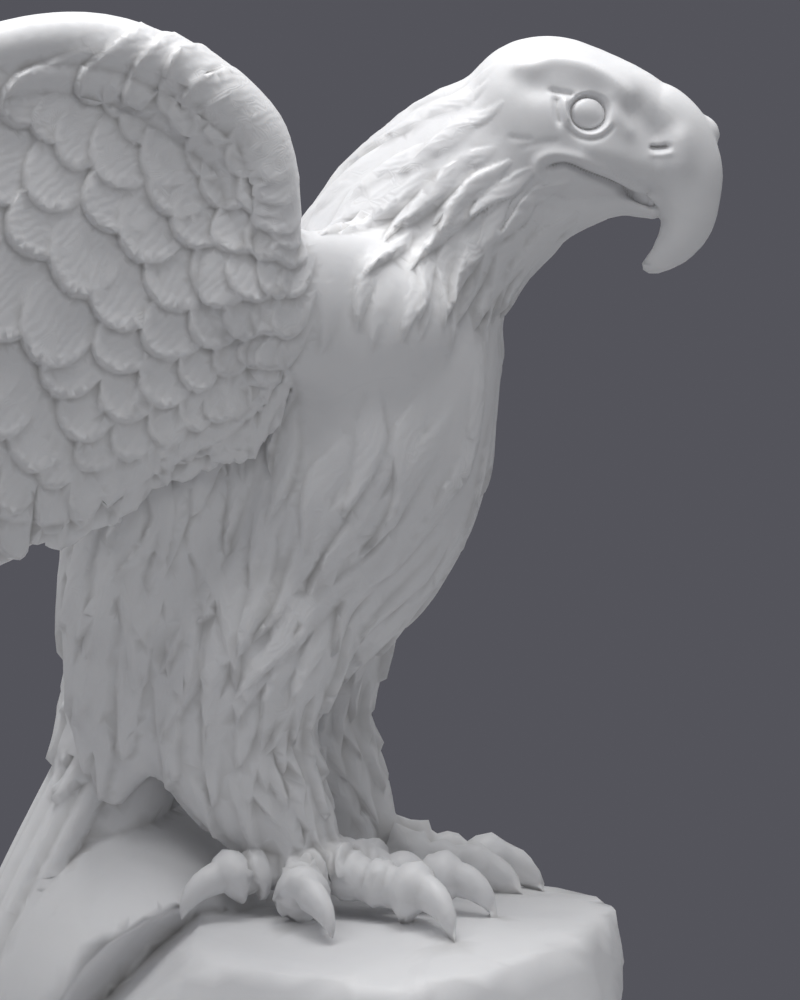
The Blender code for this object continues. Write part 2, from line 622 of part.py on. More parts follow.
def eye_relief(surface):
    """The eyeball in its socket, with the ring of the lids."""
    height = np.zeros(len(surface.points))
    for side in (-1, 1):
        centre = turned(np.array((EYE[0], side * cheek(*EYE), EYE[1])))
        near = surface.near(centre, 22)
        away = surface.points[near] - centre
        across = turned(HEAD_PIVOT + (0, side, 0)) - HEAD_PIVOT
        flat = away - (away @ across)[:, None] * across
        r = np.linalg.norm(flat, axis=1)
        low = np.clip(-flat[:, 2] / np.maximum(r, 1e-6), -0.2, 1)
        ball = 2.6 * np.sqrt(np.clip(1 - (r / EYE_RADIUS) ** 2, 0, 1)) - 1.2
        groove = -2.0 * np.exp(-(((r - EYE_RADIUS - 0.6) / 1.1) ** 2))
        lid = (0.7 + 0.9 * low) * np.exp(-(((r - 11.6) / 1.7) ** 2))
        under = -1.0 * np.clip(low, 0, 1) * np.exp(-(((r - 14.6) / 1.6) ** 2))
        socket = -1.6 * smooth_step((20 - r) / 9)
        facing = (away @ across > -16) & (surface.normals[near] @ across > 0.2)
        height[near] += facing * (np.where(r < EYE_RADIUS, ball, 0) + groove + lid + under + socket)
    return height


def head_relief(surface):
    """The brow, the hollows of the face, the nostril and the line of the mouth."""
    height = eye_relief(surface)
    height += stroke(surface, on_head((60, 414), (76, 412), (92, 407), (106, 401), (117, 395)), 6.5, 3.4)
    height += stroke(surface, on_head((68, 402), (80, 404.5), (94, 404), (104, 399)), 4.0, -2.2)
    height += stroke(surface, on_head((119, 397), (126, 391), (131, 384)), 7.0, -4.2)
    height += stroke(surface, on_head((105, 400), (112, 391), (119, 381)), 3.5, 1.6)
    height += stroke(surface, on_head((81, 400), (82, 395), (84, 389)), 1.8, 1.7)
    height += stroke(surface, on_head((77, 401), (78, 394), (80, 387)), 1.8, -1.3)
    height += stroke(surface, on_head((125.5, 377.2), (130, 377.4), (134.5, 377.6)), 1.5, -3.4)
    height += stroke(surface, on_head((124, 379.6), (130, 380.2), (136, 379.8)), 1.6, 0.9)
    mouth = ((71, 366), (80, 367.5), (88, 366), (102, 360.5), (116, 354.5), (126, 350.5), (129.5, 346))
    height += stroke(surface, on_head(*mouth), 2.1, -4.2)
    lip = ((66.5, 364), (70, 370.5), (78, 373), (90, 368.5), (103, 363.5), (116, 357.5), (128, 354))
    height += stroke(surface, on_head(*lip), 2.2, 1.9)
    height += stroke(surface, on_head((66.5, 364), (72, 359.5), (82, 358), (94, 357)), 2.6, 1.2)
    return height


# Rows of feathers down the neck and trunk: place along it, count around, length, width, lift and taper
NECK_ROWS = [
    (0.11, 17, 34, 16, 2.2, 0.8), (0.15, 17, 38, 17, 3.0, 0.8), (0.19, 17, 42, 18, 3.6, 0.8),
    (0.235, 17, 46, 20, 3.8, 0.8), (0.28, 18, 46, 21, 3.6, 0.8), (0.325, 18, 46, 22, 3.2, 0.75),
]
TRUNK_ROWS = [(0.38 + 0.055 * k, 24, 60, 23, 2.4 + 0.14 * k, 0.85) for k in range(9)]
LEG_ROWS = [(0.2 + 0.095 * k, 13 - k // 2, 56 - 3 * k, 21 - 1.2 * k, 3.6, 0.85) for k in range(8)]
DRAPE_ROWS = [(0.12 + 0.13 * k, 11, 70, 21, 4.2, 0.75) for k in range(7)]


def leg_flow(place, run):
    return run + np.array((-0.25, 0, 0))


def carved(obj):
    """The object with its feathers and face carved into it."""
    surface = Surface(obj)
    feathers = coat(surface, TRUNK, NECK_ROWS + TRUNK_ROWS, skip=lambda place, normal: place[0] > 78)
    feathers += coat(surface, leg_rows(-1, 0), LEG_ROWS, flow=leg_flow)
    feathers += coat(surface, leg_rows(1, STRIDE), LEG_ROWS, flow=leg_flow)
    for wing in (NEAR_WING, FAR_WING):
        feathers += coat(surface, drape_rows(wing.side), DRAPE_ROWS)
        feathers += coverts(surface, wing, 1) + coverts(surface, wing, -1)
    height = feather_relief(surface, feathers)
    height += head_relief(surface)
    moved = (surface.points + height[:, None] * surface.normals) * SHARE
    obj.data.vertices.foreach_set("co", moved.ravel())
    obj.data.update()
    return obj


def faceted(obj, triangles):
    """The object with about that many triangles, finer where its form turns."""
    decimate = obj.modifiers.new("faceted", "DECIMATE")
    decimate.ratio = triangles / sum(len(p.vertices) - 2 for p in obj.data.polygons)
    decimate.use_collapse_triangulate = True
    return settled(obj)


def largest_shell(bm):
    """Removes every loose shell but the largest."""
    left, shells = set(bm.verts), []
    while left:
        shell, front = set(), [left.pop()]
        while front:
            vert = front.pop()
            shell.add(vert)
            for edge in vert.link_edges:
                other = edge.other_vert(vert)
                if other in left:
                    left.discard(other)
                    front.append(other)
        shells.append(shell)
    keep = max(shells, key=len)
    bmesh.ops.delete(bm, geom=[v for v in bm.verts if v not in keep], context="VERTS")


def stood_flat(obj):
    """The object cut flat below and stood on z = 0, with the middle of its box over the origin."""
    bm = bmesh.new()
    bm.from_mesh(obj.data)
    largest_shell(bm)
    everything = bm.verts[:] + bm.edges[:] + bm.faces[:]
    cut = bmesh.ops.bisect_plane(
        bm, geom=everything, plane_co=(0, 0, -ROCK_HEIGHT), plane_no=(0, 0, -1), clear_outer=True
    )
    rim = [e for e in cut["geom_cut"] if isinstance(e, bmesh.types.BMEdge)]
    for vert in {v for e in rim for v in e.verts}:
        vert.co.z = -ROCK_HEIGHT
    bmesh.ops.triangle_fill(bm, edges=rim, use_beauty=True)
    bmesh.ops.recalc_face_normals(bm, faces=bm.faces)
    low = [min(v.co[axis] for v in bm.verts) for axis in range(2)]
    high = [max(v.co[axis] for v in bm.verts) for axis in range(2)]
    middle = Vector(((low[0] + high[0]) / 2, (low[1] + high[1]) / 2, -ROCK_HEIGHT))
    bmesh.ops.translate(bm, verts=bm.verts, vec=-middle)
    bm.to_mesh(obj.data)
    bm.free()
    return obj


def marble():
    material = bpy.data.materials.new("marble")
    material.use_nodes = True
    shader = material.node_tree.nodes["Principled BSDF"]
    shader.inputs["Base Color"].default_value = (0.80, 0.79, 0.80, 1)
    shader.inputs["Roughness"].default_value = 0.42
    shader.inputs["Metallic"].default_value = 0
    return material


def main():
    for obj in list(bpy.data.objects):
        bpy.data.objects.remove(obj)
    eagle = stood_flat(faceted(carved(figure()), TRIANGLES))
    eagle.data.materials.clear()
    eagle.data.materials.append(marble())


if __name__ == "__main__":
    main()
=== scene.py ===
"""The looks of a white marble eagle on its rock: the fine carving, the polished stone and a plain stage.

Run it as a script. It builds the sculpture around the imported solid, with the solid's size and place.
"""

import math
from collections import namedtuple

import bmesh
import bpy
import numpy as np
from bpy.props import FloatProperty, FloatVectorProperty, IntProperty, PointerProperty
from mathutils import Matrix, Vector
from mathutils.bvhtree import BVHTree
from mathutils.geometry import delaunay_2d_cdt
from mathutils.kdtree import KDTree


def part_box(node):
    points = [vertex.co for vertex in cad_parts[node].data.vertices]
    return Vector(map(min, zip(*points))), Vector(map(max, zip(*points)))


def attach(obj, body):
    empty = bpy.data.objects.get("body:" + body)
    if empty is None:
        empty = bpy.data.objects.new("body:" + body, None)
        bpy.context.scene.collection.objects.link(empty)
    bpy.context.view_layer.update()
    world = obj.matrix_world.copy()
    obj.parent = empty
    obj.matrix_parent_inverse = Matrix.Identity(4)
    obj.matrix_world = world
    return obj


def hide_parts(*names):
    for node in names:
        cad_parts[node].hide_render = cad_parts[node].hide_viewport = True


bl_info = {
    "name": "Marble Eagle",
    "version": (1, 0, 0),
    "blender": (4, 5, 0),
    "location": "3D View > Sidebar > Eagle",
    "description": "Carves a perched marble eagle with raised wings and sets it on a plain stage",
    "category": "Object",
}

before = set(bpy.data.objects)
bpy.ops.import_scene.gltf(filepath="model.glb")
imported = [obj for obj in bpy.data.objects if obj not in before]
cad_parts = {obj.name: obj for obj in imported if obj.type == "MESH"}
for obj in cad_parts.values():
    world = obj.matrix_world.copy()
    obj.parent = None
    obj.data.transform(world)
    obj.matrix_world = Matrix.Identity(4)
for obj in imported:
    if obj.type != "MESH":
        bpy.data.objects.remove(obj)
BLOCK = "eagle_on_rock"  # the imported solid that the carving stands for
BLOCK_LOW, BLOCK_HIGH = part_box(BLOCK)
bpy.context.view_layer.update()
BODY = "root"

# Lengths are in shares, of which the whole sculpture is TALL high, where nothing else is said. Places are
# counted from the middle of the rock's top: X towards the beak, Y towards the eagle's left, Z up
TALL = 592  # from the flat underside to the top of the raised wings
SHARE = (BLOCK_HIGH.z - BLOCK_LOW.z) / TALL
ROCK_DEPTH = 155  # from the rock's top, where the feet stand, to the flat underside

SOFT_GRAIN = 4.0  # how finely the body's large forms are fused
SOFT_PASSES = 12  # how often they are smoothed then, and the whole figure after them
FINE_PASSES = 5

HEAD_TURN = math.radians(-7)  # the head looks a little towards its right
HEAD_PIVOT = np.array((50.0, 0.0, 0.0))

# Neck and trunk, from the nape to the root of the tail: centre x, y, z, half height, half width
TRUNK = [
    (80, 0, 385, 29, 25), (53, 0, 368, 47.5, 34), (22.7, 0, 344, 50, 43), (-2.5, 0, 308, 56, 55),
    (-15, 0, 262, 65, 68), (-32, 0, 218, 75, 73), (-60, 0, 180, 74, 69), (-94, 0, 143, 62, 59),
    (-124, 0, 108, 45, 46), (-144, 0, 80, 29, 36), (-157, 0, 52, 21, 30),
]
SKULL = [
    (36, 0, 374, 17, 18), (46, 0, 379.5, 29, 27), (58, 0, 384.5, 41, 34), (72, 0, 386.5, 45, 37),
    (88, 0, 385, 42.5, 35.5), (104, 0, 383, 37.5, 30), (118, 0, 380, 32.5, 23.5), (130, 0, 376.5, 26, 18),
    (138, 0, 375, 13, 10),
]
UPPER_BEAK = [
    (108, 0, 387, 22, 17), (120, 0, 382, 28, 20), (131, 0, 374.5, 26.5, 17.5), (139.5, 0, 363, 21.5, 14),
    (142.5, 0, 349.5, 17, 11.5), (142.5, 0, 338.5, 13.5, 9.5), (138, 0, 329, 10.8, 7.5),
    (131, 0, 321.5, 7.8, 5.2), (125, 0, 317.6, 5, 3.6), (120.8, 0, 317, 2.4, 2),
]
LOWER_BEAK = [
    (58, 0, 342, 26, 24), (76, 0, 347.5, 18, 22), (94, 0, 349.5, 12, 17), (110, 0, 350, 8.5, 12),
    (121, 0, 347, 6.5, 8.5), (128.5, 0, 344, 4.6, 5),
]
CERE_MIDDLE = (146, 5, 382)  # the swelling over the beak's root, and its half sizes
CERE_HALF = (12.5, 8, 10.5)


def unit(v):
    """Vectors made one long."""
    v = np.asarray(v, float)
    return v / np.linalg.norm(v, axis=-1, keepdims=True)


def smooth_rows(rows, count):
    """Rows of numbers on a smooth curve through the given rows."""
    rows = np.asarray(rows, float)
    ends = np.vstack([2 * rows[0] - rows[1], rows, 2 * rows[-1] - rows[-2]])
    at = np.linspace(0, len(rows) - 1, count)
    i = np.minimum(at.astype(int), len(rows) - 2)
    t = (at - i)[:, None]
    a, b, c, d = (ends[i + k] for k in range(4))
    return 0.5 * (2 * b + (c - a) * t + (2 * a - 5 * b + 4 * c - d) * t**2 + (3 * b - a - 3 * c + d) * t**3)


def turned(points, turn=HEAD_TURN):
    """Points of the head, turned about the neck."""
    points = np.array(points, float)
    away = points[..., :3] - HEAD_PIVOT
    c, s = math.cos(turn), math.sin(turn)
    out = points.copy()
    out[..., 0] = HEAD_PIVOT[0] + c * away[..., 0] - s * away[..., 1]
    out[..., 1] = HEAD_PIVOT[1] + s * away[..., 0] + c * away[..., 1]
    return out


def object_from(name, bm):
    """A new object in the scene from a bmesh, which is freed."""
    mesh = bpy.data.meshes.new(name)
    bm.to_mesh(mesh)
    bm.free()
    obj = bpy.data.objects.new(name, mesh)
    bpy.context.scene.collection.objects.link(obj)
    return obj


def vectors(items, kind):
    """The vectors of that kind that a mesh's items hold, one in each row."""
    values = np.empty(len(items) * 3)
    items.foreach_get(kind, values)
    return values.reshape(-1, 3)


def mesh_object(name, points, faces):
    """An object from points in shares."""
    mesh = bpy.data.meshes.new(name)
    mesh.from_pydata([tuple(p * SHARE) for p in np.asarray(points, float)], [], faces)
    bm = bmesh.new()
    bm.from_mesh(mesh)
    bmesh.ops.recalc_face_normals(bm, faces=bm.faces)
    bm.to_mesh(mesh)
    bm.free()
    obj = bpy.data.objects.new(name, mesh)
    bpy.context.scene.collection.objects.link(obj)
    return obj


def tube(name, stations, side=(0, 1, 0), rings=48, sides=36, square=2.0, ripple=(0, 0)):
    """A closed tube through stations of centre x, y, z, half height and half width along side."""
    rows = smooth_rows(stations, rings)
    centre, half = rows[:, :3], np.maximum(rows[:, 3:5], 0.3)
    waves, depth = ripple
    half = half * (1 + depth * np.cos(np.linspace(0, 2 * math.pi * waves, rings)))[:, None]
    along = unit(np.gradient(centre, axis=0))
    side = np.asarray(side, float)
    wide = unit(side - (along @ side)[:, None] * along)
    high = np.cross(wide, along)
    turn = np.linspace(0, 2 * math.pi, sides, endpoint=False)
    c, s = (np.sign(x) * np.abs(x) ** (2 / square) for x in (np.cos(turn), np.sin(turn)))
    ring = (centre[:, None] + wide[:, None] * (half[:, 1, None] * c)[..., None]
            + high[:, None] * (half[:, 0, None] * s)[..., None])
    faces = [tuple(range(sides)), tuple(range((rings - 1) * sides, rings * sides))]
    for i in range(rings - 1):
        for j in range(sides):
            k = (j + 1) % sides
            faces.append((i * sides + j, i * sides + k, (i + 1) * sides + k, (i + 1) * sides + j))
    return mesh_object(name, ring.reshape(-1, 3), faces)


LEG_OUT = 46  # from the middle to each leg
STRIDE = 27  # how far the left foot stands before the right one


def leg_rows(side, forward):
    """The thigh and shank as stations. side is -1 or 1, and forward shifts the foot along X."""
    y = side * LEG_OUT
    rows = [
        (-62, y * 0.60, 200, 46, 30), (-70, y * 0.80, 163, 54, 32), (-80, y * 0.95, 128, 52, 32),
        (-84, y, 100, 45, 30), (-78, y, 75, 37, 27), (-64, y, 54, 30, 23), (-54, y, 38, 23, 18),
        (-48, y, 24, 17, 15), (-45, y, 12, 14, 14),
    ]
    return [(x + forward * min(1, (250 - z) / 140), row_y, z, high, wide) for x, row_y, z, high, wide in rows]


# A toe's knuckles from root to tip: the place along it, its half thickness as a share, and how far it arches
KNUCKLES = (
    (0, 1.12, 8), (0.15, 0.94, 7), (0.32, 1.04, 5), (0.45, 0.84, 4), (0.6, 1.02, 3.5), (0.74, 0.8, 2),
    (0.9, 1.2, 2), (1.0, 1.08, 0), (1.08, 0.6, -2),
)
SCUTE_RIPPLE = (13, 0.045)  # how many scutes swell along a toe, and by how much of its thickness
CLAW_SLOPES = (-14, -80)  # how steeply a claw falls at its root and at its tip, in degrees
CLAW_STEPS = 8


def toe(name, root, tip, thick):
    """A jointed toe that lies on the rock from root to tip, with scutes across it."""
    root, tip = np.array(root, float), np.array(tip, float)
    rows = [(*(root + (tip - root) * t + (0, 0, z)), thick * r, thick * r * 0.92) for t, r, z in KNUCKLES]
    return tube(name, rows, side=unit(np.cross((0, 0, 1), tip - root)), ripple=SCUTE_RIPPLE, rings=110)


def claw(name, base, heading, length, thick):
    """A hooked claw that leaves base along heading and curves down to the rock."""
    heading = unit(np.array([*heading, 0.0]))
    slopes = np.radians(np.linspace(*CLAW_SLOPES, CLAW_STEPS + 1))
    stride = length / CLAW_STEPS
    place = np.array(base, float)
    rows = []
    for k, slope in enumerate(slopes):
        half = thick * (1 - (k / CLAW_STEPS) ** 1.7) + 0.9
        rows.append((*place, half * 1.15, half * 0.92))
        place = place + stride * (heading * math.cos(slope) + np.array((0, 0, math.sin(slope))))
    return tube(name, rows, side=unit(np.cross((0, 0, 1), heading)))


# Each toe: root and tip from the ankle, half thickness, then its claw's length, half thickness and how far
# the claw turns off the toe, in degrees
NEAR_TOES = [
    ((-6, -2, 18), (-40, -22, 19), 11.5, 30, 6.2, 0), ((-2, -8, 15), (-3, -36, 13), 12, 29, 6.6, 38),
    ((6, -6, 16), (53, -30, 13), 12.5, 31, 7.2, -24), ((12, 4, 16), (68, 2, 14), 12, 28, 6.8, -20),
]
FAR_TOES = [
    ((-6, 0, 14), (-42, 4, 14), 11, 26, 6.4, 0), ((-2, 8, 14), (4, 38, 10), 11, 28, 6.4, 0),
    ((8, 4, 15), (64, 11, 9), 12, 29, 7.2, -12), ((10, -6, 14), (56, -12, 8), 11.5, 27, 6.8, -16),
]
NEAR_ANKLE = (-44, -46, 0)
FAR_ANKLE = (-16, 46, -2)


def foot(name, ankle, toes):
    """The toes and claws of one foot."""
    made = []
    for k, (root, tip, thick, claw_length, claw_thick, turn) in enumerate(toes):
        root, tip = np.add(ankle, root), np.add(ankle, tip)
        made.append(toe(f"{name}_toe_{k}", root, tip, thick))
        heading = unit((tip - root)[:2])
        c, s = math.cos(math.radians(turn)), math.sin(math.radians(turn))
        heading = np.array((c * heading[0] - s * heading[1], s * heading[0] + c * heading[1]))
        base = tip + (*heading * thick * 0.4, thick * 0.2)
        made.append(claw(f"{name}_claw_{k}", base, heading, claw_length, claw_thick))
    return made


# The raised wing in its own plane: u runs back from the shoulder and v is the height over the rock.
# Its front edge, with the half thickness of the roll along it
WING_EDGE = [
    (10, 262, 9), (6, 292, 11), (3, 325, 12), (1.5, 352, 13), (4, 374, 14), (13, 393.5, 15),
    (32, 410.5, 15.5), (57, 424.5, 15), (86, 435, 14.5), (115, 437, 13.5), (145, 432, 12.5),
    (180, 421, 11.5), (218, 404, 10), (254, 377, 8.5), (286, 342, 7), (310, 302, 5.5),
]
WING_WEB = [
    (14, 270), (12, 320), (12, 365), (30, 398), (62, 418), (110, 426), (160, 418), (210, 398), (246, 368),
    (268, 330), (262, 286), (238, 250), (200, 222), (162, 206), (130, 198), (108, 200), (88, 210), (62, 226),
    (34, 240), (16, 258),
]
# Flight feathers from the wing's tip inward: root u, v and tip u, v
FLIGHT = [
    ((240, 358), (338, 250)), ((230, 350), (345, 216)), ((216, 343), (335, 188)), ((202, 336), (318, 164)),
    ((188, 330), (295, 146)), ((174, 324), (270, 134)), ((160, 320), (245, 128)), ((148, 316), (221, 130)),
    ((136, 312), (199, 139)), ((124, 308), (180, 150)), ((112, 304), (163, 164)), ((100, 302), (147, 178)),
    ((88, 300), (131, 187)), ((78, 298), (116, 185)), ((88, 262), (100, 193)), ((76, 264), (88, 202)),
    ((63, 272), (75, 213)), ((50, 274), (62, 216)), ((40, 280), (52, 221)), ((24, 282), (36, 225)),
    ((12, 290), (23, 236)),
]
# A flight feather from root to tip: the place along it and its half width as a share
FLIGHT_OUTLINE = ((0, 0.5), (0.2, 0.85), (0.45, 1), (0.7, 1.05), (0.86, 0.98), (0.95, 0.7), (1.0, 0.25))
FLIGHT_HALF_WIDTH = 15
FLIGHT_HALF_THICK = 4.4
WEB_HALF_THICK = 7.5
WING_LEAN = math.radians(1)  # how far each wing leans outward

# The round swell between each wing's root, the neck and the breast: its middle and half sizes
SHOULDER_MIDDLE = (-24, 42, 286)
SHOULDER_HALF = (52, 38, 46)

Wing = namedtuple("Wing", "side origin back up out")


def wing_plane(side, root, sweep):
    """The plane of one wing. side is -1 for the eagle's right wing and 1 for its left."""
    flip = np.array((1, side, 1))
    back = np.array((-math.cos(sweep), math.sin(sweep), 0)) * flip
    up = np.array((0, math.sin(WING_LEAN), math.cos(WING_LEAN))) * flip
    up = unit(up - (up @ back) * back)
    out = np.cross(back, up)
    return Wing(side, np.array(root, float) * flip, back, up, out * np.sign(out[1] * side))


NEAR_WING = wing_plane(-1, (-50, 72, 288), math.radians(20))
FAR_WING = wing_plane(1, (-60, 70, 286), math.radians(22))


def dish(u, v):
    """How far the wing's middle layer stands out of its plane, hollow along the wing and round across it."""
    return 11 * ((u - 120) / 150) ** 2 - 5 * ((v - 320) / 110) ** 2 - 4


def on_wing(wing, u, v, out=0.0):
    """The place at u, v on a wing's middle layer, or that far out from it."""
    return wing.origin + u * wing.back + (v - wing.origin[2]) * wing.up + (dish(u, v) + out) * wing.out


def wing_web(name, wing, thick):
    """The wing's closed sheet, on which its feathers lie."""
    outline = smooth_rows([*WING_WEB, WING_WEB[0]], 120)[:-1]
    step = 12
    inner = []
    for u in np.arange(0, 280, step):
        for v in np.arange(180, 440, step):
            a, b = outline, np.roll(outline, -1, 0)
            over = (a[:, 1] > v) != (b[:, 1] > v)
            edge_u = a[:, 0] + (b[:, 0] - a[:, 0]) * (v - a[:, 1]) / np.where(over, b[:, 1] - a[:, 1], 1)
            clear = np.min(np.hypot(*(outline - (u, v)).T)) > step * 0.6
            if clear and np.sum(over & (u < edge_u)) % 2:
                inner.append((u, v))
    count = len(outline)
    rim = [(i, (i + 1) % count) for i in range(count)]
    flat, _, faces, *_ = delaunay_2d_cdt([Vector(p) for p in (*outline, *inner)], rim, [], 1, 1e-4)
    points = [on_wing(wing, p.x, p.y, layer) for layer in (thick, -thick) for p in flat]
    under = len(flat)
    shell = [tuple(f) for f in faces] + [tuple(under + i for i in reversed(f)) for f in faces]
    shell += [(i, j, under + j, under + i) for i, j in rim]
    return mesh_object(name, points, shell)


def inset(outline, radii):
    """Centres that lie their own radius inside an outline of u, v points."""
    along = unit(np.gradient(outline, axis=0))
    return outline + np.stack([along[:, 1], -along[:, 0]], 1) * radii[:, None]


def wing_parts(name, wing):
    """The roll along a wing's front edge, its sheet and its flight feathers."""
    edge = np.array(WING_EDGE, float)
    centres = inset(edge[:, :2], edge[:, 2])
    rows = [(*on_wing(wing, u, v, r * 0.3), r, r) for (u, v), r in zip(centres, edge[:, 2])]
    inner = inset(edge[:, :2], edge[:, 2] * 2.1)
    fill = [(*on_wing(wing, u, v, r * 0.12), r * 0.8, r * 0.8) for (u, v), r in zip(inner, edge[:, 2])]
    parts = [tube(name + "_edge", rows, side=wing.out), tube(name + "_edge_fill", fill, side=wing.out)]
    parts.append(wing_web(name + "_web", wing, WEB_HALF_THICK))
    for k, (root, tip) in enumerate(FLIGHT):
        root, tip = np.array(root, float), np.array(tip, float)
        rows = []
        for t, wide in FLIGHT_OUTLINE:
            u, v = root + (tip - root) * t
            place = on_wing(wing, u, v, 2.2 * (k % 2) - 1.5)
            rows.append((*place, FLIGHT_HALF_THICK, FLIGHT_HALF_WIDTH * wide))
        run = tip - root
        side = unit(-run[1] * wing.back + run[0] * wing.up)
        parts.append(tube(f"{name}_flight_{k}", rows, side=side, rings=24, sides=20, square=2.6))
    return parts


def soft_wing_parts(name, wing):
    """The shoulder that joins the wing to the trunk, and the long feathers that hang behind the thigh."""
    y = wing.side
    shoulder = [(30, 14 * y, 290, 26, 18), (2, 36 * y, 294, 38, 26), (-30, 54 * y, 294, 42, 27)]
    for u, v, half in ((18, 306, 34), (30, 336, 24), (36, 366, 12)):
        shoulder.append((*on_wing(wing, u, v, 0), half, half * 0.42))
    swell = ball(name + "_swell", np.multiply(SHOULDER_MIDDLE, (1, y, 1)), SHOULDER_HALF)
    return [tube(name + "_shoulder", shoulder, side=wing.out), swell, tube(name + "_drape", drape_rows(y))]


def drape_rows(side):
    """The long feathers behind the thigh as stations. side is -1 or 1."""
    return [
        (-83, 40 * side, 300, 25, 16), (-103, 50 * side, 262, 40, 22), (-120, 54 * side, 216, 43, 24),
        (-130, 54 * side, 170, 35, 25), (-132, 50 * side, 128, 32, 24), (-134, 46 * side, 98, 29, 18),
        (-137, 43 * side, 78, 21, 14), (-140, 41 * side, 62, 12, 9), (-141, 40 * side, 50, 4, 4),
    ]


TAIL_ROOT = np.array((-128, 0, 112))
TAIL_TIP = np.array((-244, 0, -132))
TAIL_SPREAD = 58
TAIL_FEATHERS = 11
# A tail feather from root to tip: the place along it, its half width and how far it bows up
TAIL_OUTLINE = ((0, 8, 0), (0.2, 9, 5), (0.5, 10.5, 7), (0.8, 11.5, 4), (0.93, 9, 1), (1, 3, 0))
# The stone under the tail's feathers: the place along it, its half height and half width
TAIL_CORE = ((-0.05, 22, 26), (0.2, 26, 34), (0.5, 26, 42), (0.8, 20, 48), (0.94, 10, 44))


def tail_parts():
    """Long feathers side by side, in a shallow arch."""
    parts = []
    run = TAIL_TIP - TAIL_ROOT
    lift = unit(np.cross(run, (0, 1, 0)))
    lift = lift * np.sign(lift[2])
    for k in range(TAIL_FEATHERS):
        place = 2 * k / (TAIL_FEATHERS - 1) - 1
        rows = []
        for t, wide, bow in TAIL_OUTLINE:
            spread = (0.42 + 0.58 * t) * TAIL_SPREAD * place
            arch = 9 - 17 * place**2 + 2.4 * (k % 2) + bow
            shorter = t * (1 - 0.07 * place**2)
            rows.append((*(TAIL_ROOT + run * shorter + (0, spread, 0) + lift * arch), 6, wide))
        parts.append(tube(f"tail_{k}", rows, rings=24, sides=20, square=2.4))
    rows = [(*(TAIL_ROOT + run * t - lift * (high - 12)), high, wide) for t, high, wide in TAIL_CORE]
    parts.append(tube("tail_core", rows, square=2.6))
    return parts


# The rock's corners, x, y, z, under the feet, down its sides and around its foot
ROCK_TOP = [
    (-97, -66, 2), (-98, -119, -11), (5, -150, -20), (62, -120, -11), (90, -88, -4), (108, -22, -3),
    (98, 60, -8), (38, 118, -9), (-60, 125, -3),
]
ROCK_SIDE = [
    (-205, -92, -118), (-228, 0, -104), (-210, 110, -90), (113, -18, -34), (-117, -126, -50),
    (-130, 130, -30),
]
# The smooth mound behind the feet, under the tail: its middle, and its half sizes along X, Y and Z
MOUND_MIDDLE = np.array((-130, 14, -70))
MOUND_HALF = np.array((85, 130, 117))
MOUND_BITE = (-43, -150, -107, 150)  # the hollow under the mound's brow, as a ball: middle x, y, z and radius
# Hollow broken faces, as balls that bite into the rock: middle x, y, z and radius
ROCK_BITES = [
    (-150, -324, -6, 203), (72, -252, -98, 128), (201, -24, -88, 106), (50, 290, -40, 172),
    (-190, 262, -20, 150), (-350, -30, -60, 112),
]
ROCK_FOOT = [
    (-150, -165), (-40, -182), (110, -150), (128, -40), (125, 90), (40, 160), (-150, 165), (-255, -110),
    (-272, 0), (-255, 110),
]


def hull(name, corners):
    """The hull of some corners."""
    bm = bmesh.new()
    for corner in corners:
        bm.verts.new(Vector(corner) * SHARE)
    made = bmesh.ops.convex_hull(bm, input=bm.verts)
    spare = [g for g in made["geom_interior"] if isinstance(g, bmesh.types.BMVert)]
    bmesh.ops.delete(bm, geom=spare, context="VERTS")
    return object_from(name, bm)


def ball(name, middle, half):
    """A ball or egg of those half sizes."""
    bm = bmesh.new()
    bmesh.ops.create_uvsphere(bm, u_segments=64, v_segments=40, radius=1)
    for vert in bm.verts:
        vert.co = Vector((np.array(middle) + np.array(vert.co) * half) * SHARE)
    return object_from(name, bm)


def rock_parts():
    """The rock's mound and its broken faces, flat and hollow."""
    base = -ROCK_DEPTH - 10  # a little below the cut that makes the underside
    corners = ROCK_TOP + ROCK_SIDE + [(x, y, base) for x, y in ROCK_FOOT]
    rock, mound = hull("rock", corners), ball("mound", MOUND_MIDDLE, MOUND_HALF)
    bites = [ball("bite", place, radius) for *place, radius in [*ROCK_BITES, MOUND_BITE]]
    for part, cutters in ((rock, bites[:-1]), (mound, bites)):
        for bite in cutters:
            cut = part.modifiers.new("bitten", "BOOLEAN")
            cut.operation = "DIFFERENCE"
            cut.object = bite
        settled(part)
    for bite in bites:
        bpy.data.objects.remove(bite)
    return [rock, mound]


def fused(name, parts, grain, passes):
    """One smooth closed object in place of overlapping parts."""
    bm = bmesh.new()
    for part in parts:
        bm.from_mesh(part.data)
        bpy.data.objects.remove(part)
    obj = object_from(name, bm)
    remesh = obj.modifiers.new("fused", "REMESH")
    remesh.mode = "VOXEL"
    remesh.voxel_size = grain * SHARE
    soften = obj.modifiers.new("softened", "SMOOTH")
    soften.factor = 0.5
    soften.iterations = passes
    return settled(obj)


def settled(obj):
    """The object with its modifiers applied."""
    done = bpy.data.meshes.new_from_object(obj.evaluated_get(bpy.context.evaluated_depsgraph_get()))
    obj.modifiers.clear()
    obj.data = done
    return obj


